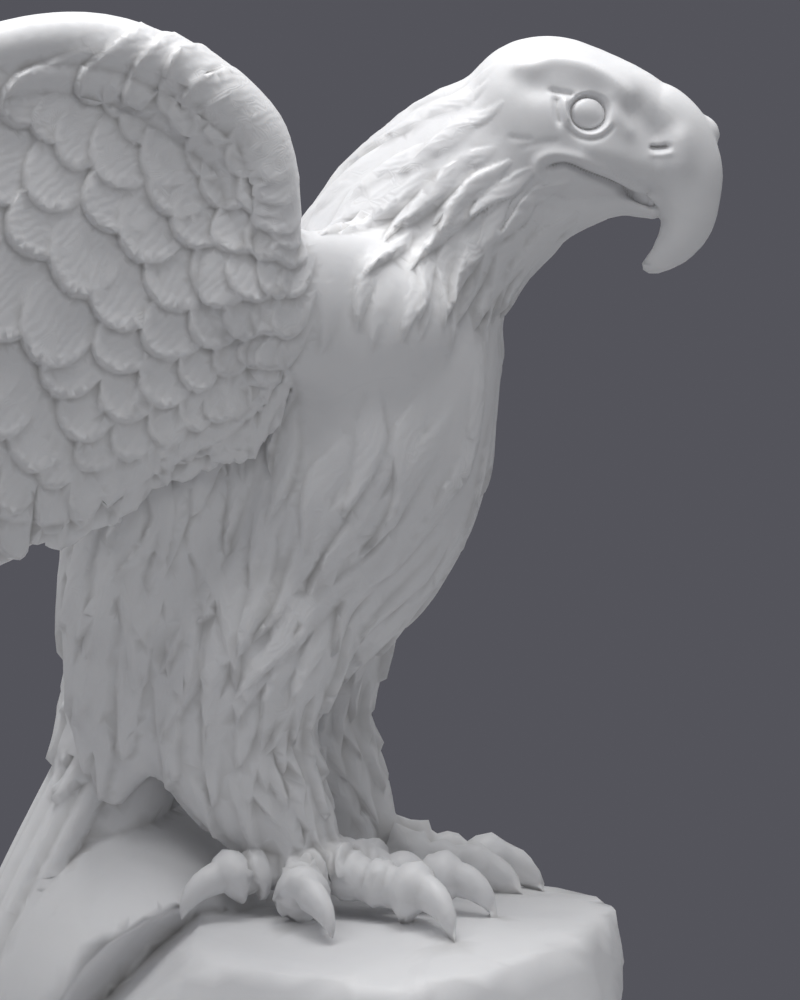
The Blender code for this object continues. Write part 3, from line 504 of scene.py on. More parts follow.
def figure(grain):
    """The whole eagle on its rock, before its feathers are carved."""
    soft = [tube("trunk", TRUNK), tube("skull", turned(SKULL))]
    soft += [tube("near_leg", leg_rows(-1, 0)), tube("far_leg", leg_rows(1, STRIDE))]
    soft += soft_wing_parts("near_wing", NEAR_WING) + soft_wing_parts("far_wing", FAR_WING)
    body = fused("body", soft, SOFT_GRAIN, SOFT_PASSES)
    parts = [body, tube("upper_beak", turned(UPPER_BEAK)), tube("lower_beak", turned(LOWER_BEAK))]
    parts.append(ball("cere", turned(CERE_MIDDLE), CERE_HALF))
    parts += tail_parts() + wing_parts("near_wing", NEAR_WING) + wing_parts("far_wing", FAR_WING)
    parts += foot("near_foot", NEAR_ANKLE, NEAR_TOES) + foot("far_foot", FAR_ANKLE, FAR_TOES)
    parts += rock_parts()
    return fused("eagle", parts, grain, FINE_PASSES)


# One carved feather over the surface, in shares. taper is 0 for a round end and 1 for a pointed one,
# tilt raises one edge over its neighbour, and bend curves it sideways
Feather = namedtuple("Feather", "centre along normal length width lift taper tilt bend")


class Surface:
    """A closed mesh in shares, to find the places where feathers are carved."""

    def __init__(self, obj):
        self.points = vectors(obj.data.vertices, "co") / SHARE
        self.normals = vectors(obj.data.vertex_normals, "vector")
        polygons = [tuple(p.vertices) for p in obj.data.polygons]
        self.tree = BVHTree.FromPolygons([tuple(p) for p in self.points], polygons)
        self.box = 16.0  # the side of one of the boxes that the points are sorted into
        self.sort()

    def sort(self):
        """Sorts the points into boxes, so that those near a place are found at once."""
        keys = np.floor(self.points / self.box).astype(int)
        order = np.lexsort(keys.T)
        keys = keys[order]
        starts = np.flatnonzero(np.r_[True, np.any(np.diff(keys, axis=0), axis=1)])
        ends = np.r_[starts[1:], len(order)]
        self.boxes = {tuple(keys[a]): order[a:b] for a, b in zip(starts, ends)}

    def near(self, centre, reach):
        """The numbers of the points in the boxes within reach of a place."""
        low = np.floor((centre - reach) / self.box).astype(int)
        high = np.floor((centre + reach) / self.box).astype(int)
        keys = (tuple(low + step) for step in np.ndindex(*(high - low + 1)))
        found = [self.boxes[key] for key in keys if key in self.boxes]
        return np.concatenate(found) if found else np.empty(0, int)

    def hit(self, start, direction, reach):
        """The first place on the surface from start along direction, and its normal."""
        place, normal, _, _ = self.tree.ray_cast(Vector(start), Vector(direction), reach)
        return (np.array(place), np.array(normal)) if place is not None else (None, None)


def feather_at(place, normal, heading, length, width, lift, taper, tilt, bend):
    """A feather that lies on the surface at a place and points along heading."""
    along = heading - (heading @ normal) * normal
    return Feather(place, unit(along), normal, length, width, lift, taper, tilt, bend)


def smooth_step(x):
    """Runs softly from 0 to 1 as x does."""
    x = np.clip(x, 0, 1)
    return x * x * (3 - 2 * x)


FEATHER_EDGE = 1.4  # how softly a feather's edge falls off
SHELL_HOLLOW = 0.3  # how far a round feather's middle lies under its rim, as a share of its lift
LOCK_SLOPE = 0.85  # how far a pointed lock's sides lie under its crest, as a share of its lift
BARBED_LIFT = 2  # feathers lower than this are left plain


def feather_relief(surface, feathers):
    """How high the feathers stand over each point, and its fine barbs: the way they run and how deep.

    Over a feather, s runs from 0 at its root to 1 at its tip, and t from -1 at one side to 1 at the other.
    """
    height = np.zeros(len(surface.points))
    barbs = np.zeros((len(surface.points), 2))
    for f in feathers:
        near = surface.near(f.centre, 0.5 * math.hypot(f.length, f.width) + 2)
        away = surface.points[near] - f.centre
        s = 0.5 + away @ f.along / f.length
        sway = f.bend * (s - 0.25) ** 2 + 0.03 * f.taper * np.sin(2 * math.pi * s + 40 * f.bend)
        t = (away @ np.cross(f.normal, f.along) - f.length * sway) / (0.5 * f.width)
        deep = np.abs(away @ f.normal) < 0.35 * f.length + 4
        faces_out = surface.normals[near] @ f.normal > 0.2
        end = 0.6 * f.width / f.length
        rounded = 1 - np.hypot(np.clip(s - 1 + end, 0, None) / end, t)
        outline = np.clip((1 - s) / 0.72, 0, 1) ** 0.75 * np.clip(0.35 + 1.9 * s, 0, 1)
        pointed = outline - np.abs(t)
        side = ((1 - f.taper) * rounded + f.taper * pointed) * 0.5 * f.width
        soft = FEATHER_EDGE * (1 + 0.5 * f.taper)
        ramp = 0.03 + 0.97 * np.clip(s, 0, 1) ** (1.35 - 0.6 * f.taper)
        crest = np.abs(t / np.maximum(outline, 0.2) + 0.5 * np.sign(f.tilt)) / 1.5
        lock = 1 - LOCK_SLOPE * np.clip(crest, 0, 1) ** 1.5
        shell = 1 - SHELL_HOLLOW * smooth_step((side - 1) / (0.17 * f.width)) * smooth_step((s - 0.25) / 0.4)
        across = f.taper * lock + (1 - f.taper) * shell + f.tilt * t
        h = f.lift * ramp * across * smooth_step(side / soft)
        h[(s < 0) | (s > 1) | ~deep | ~faces_out] = 0
        tops = h > height[near]
        over = near[tops]
        height[over] = h[tops]
        barbs[over, 0] = (0.5 * f.width * t + 0.3 * f.length * s)[tops]
        barbs[over, 1] = (f.lift > BARBED_LIFT) * (smooth_step(side / 3) * smooth_step((s - 0.1) / 0.3))[tops]
    return height, barbs


def wobble(k, size):
    """A small unevenness that differs for every k, always the same."""
    return size * math.sin(12.9898 * k + 4.1) * math.cos(7.233 * k)


def side_of(k):
    """Which side of lock number k is the steep one, always the same."""
    return math.sin(3.7 * k + 0.8) > -0.3


# Rows of coverts on the raised wing, from its front edge down: where the first, middle and last feather ends
# as u, v, how many, each one's length, width and lift, and the angle it hangs at, first and last, in degrees
COVERTS = [
    ((52, 388), (124, 399), (288, 328), 8, 66, 21, 6.4, 30, 22),
    ((36, 372), (114, 386), (288, 306), 9, 50, 24, 4.6, 36, 28),
    ((24, 358), (104, 372), (285, 286), 10, 46, 29, 4.4, 46, 38),
    ((18, 344), (102, 357), (280, 266), 10, 48, 33, 4.8, 52, 44),
    ((14, 330), (100, 336), (272, 246), 9, 54, 37, 5.4, 58, 50),
    ((12, 315), (98, 313), (260, 226), 9, 56, 38, 5.6, 63, 54),
    ((11, 300), (96, 288), (246, 208), 9, 58, 37, 5.6, 67, 58),
    ((11, 285), (95, 264), (230, 193), 10, 56, 33, 5.4, 70, 62),
    ((12, 268), (93, 243), (210, 180), 11, 54, 27, 5.0, 73, 66),
    ((14, 251), (90, 225), (190, 172), 12, 54, 21, 4.6, 76, 72),
    ((24, 232), (84, 208), (172, 168), 13, 56, 16, 4.2, 78, 76),
    ((7, 332), (4, 306), (7, 276), 6, 17, 13, 2.6, 78, 86),
]
COVERT_CROWDING = 1.3  # over 1, the coverts stand closer towards the shoulder
COVERT_TILT = 0.16


def covert_taper(u, v):
    """How pointed a covert is. Those low down and close to the trunk are."""
    return 0.55 * smooth_step((262 - v) / 40) * smooth_step((110 - u) / 50)


def coverts(surface, wing, face):
    """Rows of feathers on one face of a wing: 1 for its outer face and -1 for the one over the back."""
    made = []
    for row, (first, middle, last, count, length, width, lift, turn_first, turn_last) in enumerate(COVERTS):
        for k in range(count):
            t = ((k + 0.5 * (row % 2)) / (count - 0.5)) ** COVERT_CROWDING
            pull = 2 * np.array(middle) - (np.array(first) + np.array(last)) / 2
            u, v = np.array(first) * (1 - t) ** 2 + 2 * t * (1 - t) * pull + np.array(last) * t**2
            number = 40 * row + k
            angle = math.radians(turn_first + (turn_last - turn_first) * t + wobble(number, 7))
            run = math.cos(angle), -math.sin(angle)
            size = length * (1 + wobble(number + 7, 0.12)) * (0.6 + 0.4 * min(1, t * 3))
            u += wobble(number + 3, 3) - run[0] * size / 2
            v += wobble(number + 5, 3) - run[1] * size / 2
            place, normal = surface.hit(on_wing(wing, u, v, 60 * face), -face * wing.out, 110)
            if place is None or abs((place - on_wing(wing, u, v)) @ wing.out) > 40:
                continue
            heading = run[0] * wing.back + run[1] * wing.up
            broad = width * (1 + wobble(number + 11, 0.12)) * (0.52 + 0.58 * min(1, t * 2.4))
            tilt = COVERT_TILT * face * wing.side
            bend = wobble(number + 13, 0.16)
            made.append(feather_at(place, normal, heading, size, broad, lift, covert_taper(u, v), tilt, bend))
    return made


def coat(surface, stations, rows, side=(0, 1, 0), flow=None, skip=None):
    """Rows of feathers around a form like a tube, each row at a place from 0 to 1 along its stations.

    flow gives a feather's direction from its place and the form's own, and skip names the places left bare.
    """
    steps = 200
    line = smooth_rows(stations, steps)
    along = unit(np.gradient(line[:, :3], axis=0))
    made = []
    for row, (t, count, length, width, lift, taper) in enumerate(rows):
        i = int(round(t * (steps - 1)))
        centre, run = line[i, :3], along[i]
        wide = unit(np.asarray(side, float) - (run @ side) * run)
        upward = np.cross(wide, run)
        for k in range(count):
            number = 60 * row + k
            a = 2 * math.pi * (k + 0.5 * (row % 2) + wobble(number, 0.4)) / count
            out = math.cos(a) * wide + math.sin(a) * upward
            start = centre + run * wobble(number + 9, 0.3 * length)
            place, normal = surface.hit(start, out, 1.45 * max(line[i, 3], line[i, 4]) + 6)
            if place is None or (skip and skip(place)):
                continue
            heading = flow(place, run) if flow else run
            heading = unit(heading) + wobble(number + 5, 0.14) * np.cross(normal, unit(heading))
            long = length * (1 + wobble(number + 2, 0.22))
            broad = width * (1 + wobble(number + 4, 0.2))
            high = lift * (1 + wobble(number + 6, 0.25))
            tilt = 0.1 if side_of(number) else -0.1
            bend = wobble(number + 8, 0.3)
            made.append(feather_at(place, normal, heading, long, broad, high, taper, tilt, bend))
    return made


# Where the face is looked at from, far out on the eagle's right and a little above the feet
SIGHT = np.array((0.0, -1995.0, 340.0))


def on_face(surface, path):
    """The line over the head that a path of x, z draws as seen from SIGHT, and its mirror on the far side."""
    near = []
    for x, z in smooth_rows(path, 7 * len(path)):
        place, _ = surface.hit(SIGHT, unit(np.array((x, 0, z)) - SIGHT), 3000)
        near.append(place)
    near = np.array(near)
    far = turned(turned(near, -HEAD_TURN) * (1, -1, 1))
    return near, far


def stroke(surface, path, radius, rise):
    """A soft ridge, or a groove where rise is negative, along a path over both sides of the head."""
    height = np.zeros(len(surface.points))
    for line in on_face(surface, path):
        ends = np.minimum(1, np.minimum(np.arange(len(line)), np.arange(len(line))[::-1]) / 4 + 0.2)
        best = np.zeros(len(surface.points))
        for place, end in zip(line, ends):
            near = surface.near(place, 3 * radius)
            away = np.linalg.norm(surface.points[near] - place, axis=1)
            best[near] = np.maximum(best[near], end * np.exp(-((away / radius) ** 2)))
        height += rise * best
    return height


EYE = (94.4, 393)  # its x and z
EYE_RADIUS = 8.6
EYE_BULGE = 2.4  # how far the eyeball swells at its middle
EYE_LEAN = 0.17  # how far it leans out at its top, as a share of the height over its middle
SOCKET_DEPTH = 3.2


def eye_relief(surface):
    """The eyeball in its socket, with the ring of the lids."""
    height = np.zeros(len(surface.points))
    for side, line in zip((-1, 1), on_face(surface, [EYE, EYE])):
        near = surface.near(line[0], 20)
        away = surface.points[near] - line[0]
        across = turned(HEAD_PIVOT + (0, side, 0)) - HEAD_PIVOT
        flat = away - (away @ across)[:, None] * across
        r = np.linalg.norm(flat, axis=1)
        low = np.clip(-flat[:, 2] / np.maximum(r, 1e-6), -1, 1)
        ball = EYE_BULGE * np.sqrt(np.clip(1 - (r / EYE_RADIUS) ** 2, 0, 1)) + EYE_LEAN * flat[:, 2]
        slope = 1.3 + 1.7 * smooth_step((0.2 - low) / 0.8)
        socket = -SOCKET_DEPTH * smooth_step((EYE_RADIUS + slope - r) / slope)
        shade = 1 + 0.5 * smooth_step(-flat[:, 0] / 8) * smooth_step((0.6 - low) / 0.6)
        groove = -1.2 * shade * np.exp(-(((r - EYE_RADIUS - 0.2) / 1.2) ** 2))
        lid = 0.5 * smooth_step((low - 0.2) / 0.5) * np.exp(-(((r - 10.8) / 1.1) ** 2))
        under = -1.2 * smooth_step((low - 0.35) / 0.4) * np.exp(-(((r - 13.0) / 1.3) ** 2))
        facing = (away @ across > -16) & (surface.normals[near] @ across > 0.2)
        height[near] += facing * (np.where(r < EYE_RADIUS, ball, 0) + socket + groove + lid + under)
    return height


# Ridges and grooves of the face, as a path of x, z, its half width and its rise
FACE = [
    (((56, 415), (66, 415.5), (76, 418), (88, 416.5), (100, 412), (109, 405.5), (115, 399)), 4.8, 2.7),
    (((64, 406), (74, 405.5), (84, 405), (92, 404), (99, 401), (104, 397)), 6.6, -2.5),
    (((104, 403), (107, 396), (111, 388.5), (115, 382)), 4.0, 1.1),
    (((117, 397), (122, 391), (126.5, 385), (128.5, 382.5)), 8.4, -5.2),
    (((81.8, 400.5), (81.8, 394), (83.4, 387.5)), 1.6, 2.7),
    (((78, 402), (78.2, 394), (79.6, 387)), 2.0, -2.6),
    (((88, 375), (102, 372), (116, 367), (128, 361)), 7.5, 3.2),
    (((138, 382), (140, 374), (140, 365)), 6.6, 2.2),
    (((74, 405), (81, 403.6), (87, 402.4)), 1.7, -1.7),
    (((125.4, 375), (129.6, 375.2), (134, 376.2)), 1.4, -4.6),
    (((124, 372.4), (130, 372.2), (136, 373)), 1.5, 0.6),
    (((67.5, 366), (70, 370.4), (76.4, 372.8), (86.5, 371.5), (95, 368), (104, 364), (114, 357.6),
      (122, 353.8), (128.5, 348)), 2.6, 2.3),
    (((72, 364.6), (83, 366.6), (95, 361.6), (105, 357.6), (114, 353), (121.5, 349), (127, 345.4)),
     1.8, -4.2),
    (((108, 354.8), (116, 350.4), (124, 346)), 2.2, -2.4),
    (((67.5, 366), (70.5, 360), (77, 358.4), (86, 358.6)), 2.4, 1.1),
    (((54, 381), (60, 380), (66, 379.6)), 1.6, -0.8),
    (((60, 375), (70, 378), (80, 379)), 1.8, -0.6),
    (((60, 352), (72, 352.6), (84, 350)), 2.4, -0.8),
    (((56, 345), (68, 346), (78, 345)), 2.4, -0.7),
]


def head_relief(surface):
    """The eyes, and the ridges and grooves of the face."""
    height = eye_relief(surface)
    for path, radius, rise in FACE:
        height += stroke(surface, path, radius, rise)
    return height


SCUTE_LENGTH = 5.4
SCUTE_DEPTH = 1.3


def scute_relief(surface):
    """Grooves across the toes, between their scutes."""
    height = np.zeros(len(surface.points))
    for ankle, toes in ((NEAR_ANKLE, NEAR_TOES), (FAR_ANKLE, FAR_TOES)):
        for root, tip, thick, *_ in toes:
            root, tip = np.add(ankle, root), np.add(ankle, tip) + (0, 0, 2)
            long = np.linalg.norm(tip - root)
            run = (tip - root) / long
            near = surface.near((root + tip) / 2, long / 2 + thick)
            away = surface.points[near] - root
            s = away @ run
            off = np.linalg.norm(away - s[:, None] * run, axis=1)
            bands = 0.5 - 0.5 * np.cos(2 * math.pi * s / SCUTE_LENGTH)
            cut = -SCUTE_DEPTH * (1 - bands**0.35) * smooth_step((1.5 * thick - off) / 4)
            cut *= smooth_step((surface.normals[near, 2] + 0.2) / 0.4) * (s > 4) * (s < long - 5)
            height[near] = np.minimum(height[near], cut)
    return height


ROCK_UNEVENNESS = 0.55


def rock_relief(surface):
    """The soft unevenness that the chisel left on the rock."""
    x, y, z = surface.points.T
    waves = np.sin(x / 11 + 1.3 * np.sin(y / 17)) * np.sin(y / 13 + z / 19 + 0.7)
    waves += 0.6 * np.sin(x / 6.1 - z / 8.3 + 2 * np.sin(y / 23)) * np.sin(y / 7.7 + z / 6.9)
    on_rock = smooth_step((-1 - z) / 6) * smooth_step((x + 0.45 * z + 150) / 30)
    return ROCK_UNEVENNESS * waves * on_rock


# Rows of locks down the neck, trunk, legs and the long feathers behind the thigh: place along, count around,
# length, width, lift and taper
NECK_ROWS = [
    (0.12, 16, 44, 13, 2.6, 1), (0.15, 17, 54, 14, 4.2, 1), (0.185, 17, 62, 15, 5.4, 1),
    (0.22, 18, 66, 15, 5.4, 1), (0.255, 19, 66, 15, 4.2, 1), (0.29, 20, 62, 14, 2.8, 1),
    (0.325, 20, 58, 13, 1.6, 1),
]
TRUNK_ROWS = [(0.40 + 0.06 * k, 22, 76, 17, 3.9 + 0.2 * k, 1) for k in range(8)]
LEG_ROWS = [(0.14 + 0.1 * k, 14 - k // 2, 58 - 3 * k, 16 - 0.8 * k, 5.6 - 0.1 * k, 0.8) for k in range(8)]
DRAPE_ROWS = [(0.12 + 0.12 * k, 11, 92, 17, 4.9, 0.45) for k in range(7)]
SMOOTH_BREAST = np.array((-2, 0, 262))  # the middle of the breast's smooth patch, as x and z
SMOOTH_REACH = (50, 33)


def trunk_flow(place, run):
    """Down the trunk's line, and straighter down towards the back."""
    back = smooth_step((-20 - place[0]) / 80)
    return (1 - back) * run + back * np.array((0.02, 0, -1))


def on_smooth_breast(place):
    """Whether a place lies on the breast's smooth patch."""
    off = (place - SMOOTH_BREAST) / (SMOOTH_REACH[0], 1, SMOOTH_REACH[1])
    return off[0] ** 2 + off[2] ** 2 < 1


BARE_FACE = 74  # the face has no locks before this
BARE_CROWN = (60, 374)  # nor before this and over this height
DRAPE_END = 96


def off_the_neck(place):
    """Whether a place lies on the bare face or crown."""
    return place[0] > BARE_FACE or (place[0] > BARE_CROWN[0] and place[2] > BARE_CROWN[1])


def below_the_drape(place):
    """Whether a place lies under the long feathers' ends, on the tail or the rock."""
    return place[2] < DRAPE_END


def leg_flow(place, run):
    """Down the leg, and a little to the back."""
    return run + np.array((-0.25, 0, 0))


FACE_LOW = 338  # the face is what lies over this height, before FACE_BACK
FACE_BACK = 50


def refined(obj):
    """Halves the grain over the head, so that the face can be carved finer."""
    bm = bmesh.new()
    bm.from_mesh(obj.data)
    low, back = FACE_LOW * SHARE, FACE_BACK * SHARE
    faces = [f for f in bm.faces if min(v.co.z for v in f.verts) > low and f.verts[0].co.x > back]
    edges = list({edge for face in faces for edge in face.edges})
    bmesh.ops.subdivide_edges(bm, edges=edges, cuts=1, use_grid_fill=True)
    bm.to_mesh(obj.data)
    bm.free()


def carve(obj):
    """Carves the feathers, face, toes and rock. Gives the carved points, found by place, and their barbs."""
    refined(obj)
    surface = Surface(obj)
    feathers = coat(surface, TRUNK, NECK_ROWS, skip=off_the_neck)
    feathers += coat(surface, TRUNK, TRUNK_ROWS, flow=trunk_flow, skip=on_smooth_breast)
    feathers += coat(surface, leg_rows(-1, 0), LEG_ROWS, flow=leg_flow)
    feathers += coat(surface, leg_rows(1, STRIDE), LEG_ROWS, flow=leg_flow)
    for wing in (NEAR_WING, FAR_WING):
        feathers += coat(surface, drape_rows(wing.side), DRAPE_ROWS, skip=below_the_drape)
        feathers += coverts(surface, wing, 1) + coverts(surface, wing, -1)
    height, barbs = feather_relief(surface, feathers)
    height += head_relief(surface) + scute_relief(surface) + rock_relief(surface)
    moved = (surface.points + height[:, None] * surface.normals) * SHARE
    obj.data.vertices.foreach_set("co", moved.ravel())
    obj.data.update()
    found = KDTree(len(moved))
    for k, place in enumerate(moved.tolist()):
        found.insert(place, k)
    found.balance()
    return found, barbs


# Painted shade: a grey is mixed into the marble's colour where the surface lies in a hollow, standing in for
# the shade that falls in creases
PAINTED_SHADE_GAIN = 2.2  # how fast the painted shade darkens as a hollow deepens
PAINTED_SHADE_START = 0.12  # how much of that is taken off, so that shallow hollows stay free of painted shade


def traced(obj, found, barbs):
    """Notes on each point of the thinned object how the barbs run and how far it lies in a hollow, which is
    the mask of the painted shade in the hollows.
    """
    mesh = obj.data
    count = len(mesh.vertices)
    places = vectors(mesh.vertices, "co")
    normals = vectors(mesh.vertex_normals, "vector")
    ends = np.empty(len(mesh.edges) * 2, int)
    mesh.edges.foreach_get("vertices", ends)
    first, second = ends.reshape(-1, 2).T
    run = unit(places[second] - places[first] + 1e-9)
    hollow = np.bincount(first, np.einsum("ij,ij->i", normals[first], run), count)
    hollow -= np.bincount(second, np.einsum("ij,ij->i", normals[second], run), count)
    hollow /= np.maximum(np.bincount(first, minlength=count) + np.bincount(second, minlength=count), 1)
    # the mask of the painted shade: how far each point lies in a hollow
    note = mesh.attributes.new("hollow", "FLOAT", "POINT")
    note.data.foreach_set("value", np.clip(hollow * PAINTED_SHADE_GAIN - PAINTED_SHADE_START, 0, 1))
    nearest = [found.find(place)[1] for place in places.tolist()]
    for name, values in (("barbs", barbs[nearest, 0]), ("barb_depth", barbs[nearest, 1])):
        note = mesh.attributes.new(name, "FLOAT", "POINT")
        note.data.foreach_set("value", values)


def largest_shell(bm):
    """Removes every loose shell but the largest."""
    left, shells = set(bm.verts), []
    while left:
        shell, front = set(), [left.pop()]
        while front:
            vert = front.pop()
            shell.add(vert)
            for edge in vert.link_edges:
                other = edge.other_vert(vert)
                if other in left:
                    left.discard(other)
                    front.append(other)
        shells.append(shell)
    keep = max(shells, key=len)
    bmesh.ops.delete(bm, geom=[v for v in bm.verts if v not in keep], context="VERTS")


def weighed(obj, name, weights):
    """Gives the object a vertex group with one weight for each point."""
    group = obj.vertex_groups.new(name=name)
    steps = np.round(np.clip(weights, 0, 1) * 10).astype(int)
    for step in np.unique(steps):
        group.add(np.flatnonzero(steps == step).tolist(), step / 10, "REPLACE")


def thinned(obj, triangles):
    """The object with about that many triangles, finest on the face and where the carving turns."""
    points = vectors(obj.data.vertices, "co") / SHARE
    rock = smooth_step((4 - points[:, 2]) / 8)
    head = smooth_step((points[:, 2] - 322) / 16) * smooth_step((points[:, 0] - 24) / 16)
    wing = smooth_step((-52 - points[:, 1]) / 8) * smooth_step((points[:, 2] - 170) / 10)
    far_side = points[:, 1] > 20
    weighed(obj, "coarse", 0.4 + 0.4 * rock - 0.4 * head - 0.25 * wing + 0.2 * far_side)
    thin = obj.modifiers.new("thinned", "DECIMATE")
    thin.ratio = triangles / sum(len(p.vertices) - 2 for p in obj.data.polygons)
    thin.use_collapse_triangulate = True
    thin.vertex_group = "coarse"
    thin.vertex_group_factor = 1.0
    settled(obj)
    obj.vertex_groups.clear()
    return obj


def stood_in_place(obj):
    """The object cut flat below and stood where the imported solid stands."""
    depth = ROCK_DEPTH * SHARE
    bm = bmesh.new()
    bm.from_mesh(obj.data)
    largest_shell(bm)
    everything = bm.verts[:] + bm.edges[:] + bm.faces[:]
    cut = bmesh.ops.bisect_plane(
        bm, geom=everything, plane_co=(0, 0, -depth), plane_no=(0, 0, -1), clear_outer=True
    )
    rim = [e for e in cut["geom_cut"] if isinstance(e, bmesh.types.BMEdge)]
    for vert in {v for e in rim for v in e.verts}:
        vert.co.z = -depth
    bmesh.ops.triangle_fill(bm, edges=rim, use_beauty=True)
    bmesh.ops.recalc_face_normals(bm, faces=bm.faces)
    low = [min(v.co[axis] for v in bm.verts) for axis in range(2)]
    high = [max(v.co[axis] for v in bm.verts) for axis in range(2)]
    middle = (BLOCK_LOW + BLOCK_HIGH) / 2
    across = [middle[axis] - (low[axis] + high[axis]) / 2 for axis in range(2)]
    shift = Vector((*across, BLOCK_LOW.z + depth))
    bmesh.ops.translate(bm, verts=bm.verts, vec=shift)
    bm.to_mesh(obj.data)
    bm.free()
    obj["figure_origin"] = shift
    return obj


def marble(stone, cloud, painted_shade, roughness):
    """White marble with faint grey clouds, painted shade in its hollows and a satin finish."""
    material = bpy.data.materials.new("white_marble")
    material.use_nodes = True
    nodes, links = material.node_tree.nodes, material.node_tree.links
    shader = nodes["Principled BSDF"]
    shader.inputs["Metallic"].default_value = 0
    shader.inputs["IOR"].default_value = 1.49
    shader.inputs["Subsurface Weight"].default_value = 0.25
    shader.inputs["Subsurface Radius"].default_value = (1.0, 0.92, 0.86)
    shader.inputs["Subsurface Scale"].default_value = 0.004
    place = nodes.new("ShaderNodeTexCoord")

    def noise(scale, detail, distortion=0.0):
        node = nodes.new("ShaderNodeTexNoise")
        node.inputs["Scale"].default_value = scale
        node.inputs["Detail"].default_value = detail
        node.inputs["Distortion"].default_value = distortion
        links.new(place.outputs["Object"], node.inputs["Vector"])
        return node.outputs["Fac"]

    def ranged(source, low, high, to_low, to_high):
        node = nodes.new("ShaderNodeMapRange")
        node.inputs["From Min"].default_value = low
        node.inputs["From Max"].default_value = high
        node.inputs["To Min"].default_value = to_low
        node.inputs["To Max"].default_value = to_high
        node.clamp = to_high <= 1
        links.new(source, node.inputs["Value"])
        return node.outputs["Result"]

    def mixed(share, first, second):
        node = nodes.new("ShaderNodeMix")
        node.data_type = "RGBA"
        links.new(share, node.inputs["Factor"])
        for socket, colour in ((node.inputs[6], first), (node.inputs[7], second)):
            if isinstance(colour, bpy.types.NodeSocket):
                links.new(colour, socket)
            else:
                socket.default_value = (*colour, 1)
        return node.outputs[2]

    def noted(name):
        node = nodes.new("ShaderNodeAttribute")
        node.attribute_name = name
        return node.outputs["Fac"]

    def worked(operation, *values):
        node = nodes.new("ShaderNodeMath")
        node.operation = operation
        for socket, value in zip(node.inputs, values):
            if isinstance(value, bpy.types.NodeSocket):
                links.new(value, socket)
            else:
                socket.default_value = value
        return node.outputs[0]

    def bumped(height, strength, distance, under=None):
        node = nodes.new("ShaderNodeBump")
        node.inputs["Strength"].default_value = strength
        node.inputs["Distance"].default_value = distance
        links.new(height, node.inputs["Height"])
        if under:
            links.new(under, node.inputs["Normal"])
        return node.outputs["Normal"]

    colour = mixed(ranged(noise(7, 6, 1.4), 0.42, 0.72, 0, 0.7), stone, cloud)
    colour = mixed(ranged(noise(16, 3, 3.0), 0.60, 0.66, 0, 0.16), colour, cloud)
    # painted shade: the hollows are darkened by mixing a grey into the colour
    colour = mixed(noted("hollow"), colour, painted_shade)
    links.new(colour, shader.inputs["Base Color"])

    barb_period = 4.6
    uneven_run = worked("MULTIPLY_ADD", noise(45, 3), 12, noted("barbs"))
    strokes = worked("SINE", ranged(uneven_run, 0, barb_period, 0, 2 * math.pi))
    scored = bumped(worked("MULTIPLY", strokes, noted("barb_depth")), 0.1, 0.0008)
    dimpled = bumped(noise(70, 5), 0.35, 0.0004, scored)
    links.new(bumped(noise(900, 2), 0.2, 0.0001, dimpled), shader.inputs["Normal"])
    satin = ranged(noise(260, 4), 0.3, 0.7, roughness - 0.06, roughness + 0.08)
    links.new(satin, shader.inputs["Roughness"])
    return material


class CarvingSettings(bpy.types.PropertyGroup):
    """How finely the sculpture is carved."""

    grain: FloatProperty(
        name="Grain", description="How finely the whole form is worked",
        default=0.0014, min=0.0009, max=0.006, unit="LENGTH", subtype="DISTANCE", precision=4,
    )
    triangles: IntProperty(
        name="Triangles", description="About how many triangles the finished carving has",
        default=194000, min=20000, max=199000,
    )


class MarbleSettings(bpy.types.PropertyGroup):
    """The stone's colours and finish."""

    stone: FloatVectorProperty(
        name="Stone", description="The white of the marble",
        default=(0.80, 0.80, 0.81), min=0, max=1, size=3, subtype="COLOR",
    )
    cloud: FloatVectorProperty(
        name="Clouds", description="The faint grey clouds and veins in the marble",
        default=(0.68, 0.68, 0.70), min=0, max=1, size=3, subtype="COLOR",
    )
    # the grey painted into the carving's hollows as painted shade
    painted_shade: FloatVectorProperty(
        name="Dust", description="The dust that lies in the hollows of the carving",
        default=(0.52, 0.51, 0.50), min=0, max=1, size=3, subtype="COLOR",
    )
    roughness: FloatProperty(
        name="Roughness", description="The roughness of the satin finish",
        default=0.46, min=0.1, max=1, subtype="FACTOR",
    )


class StageSettings(bpy.types.PropertyGroup):
    """The floor, the light and the camera."""

    floor: FloatVectorProperty(
        name="Floor", description="The colour of the pale floor",
        default=(0.62, 0.62, 0.63), min=0, max=1, size=3, subtype="COLOR",
    )
    backdrop: FloatVectorProperty(
        name="Backdrop", description="The plain colour behind the sculpture",
        default=(0.089, 0.089, 0.105), min=0, max=1, size=3, subtype="COLOR",
    )
    key_power: FloatProperty(
        name="Key light", description="The power of the large light overhead",
        default=17, min=0, max=500, unit="POWER",
    )
    fill_power: FloatProperty(
        name="Fill light", description="The power of the weak light from the wing's side",
        default=5, min=0, max=500, unit="POWER",
    )
    front_power: FloatProperty(
        name="Front light", description="The power of the weak light from before the sculpture",
        default=1.1, min=0, max=500, unit="POWER",
    )
    surround: FloatProperty(
        name="Surround", description="How strongly the room's soft light falls on the stone from all sides",
        default=0.26, min=0, max=5,
    )
    distance: FloatProperty(
        name="Camera distance", description="From the camera to the middle of the view",
        default=2.0, min=0.5, max=20, unit="LENGTH", subtype="DISTANCE",
    )


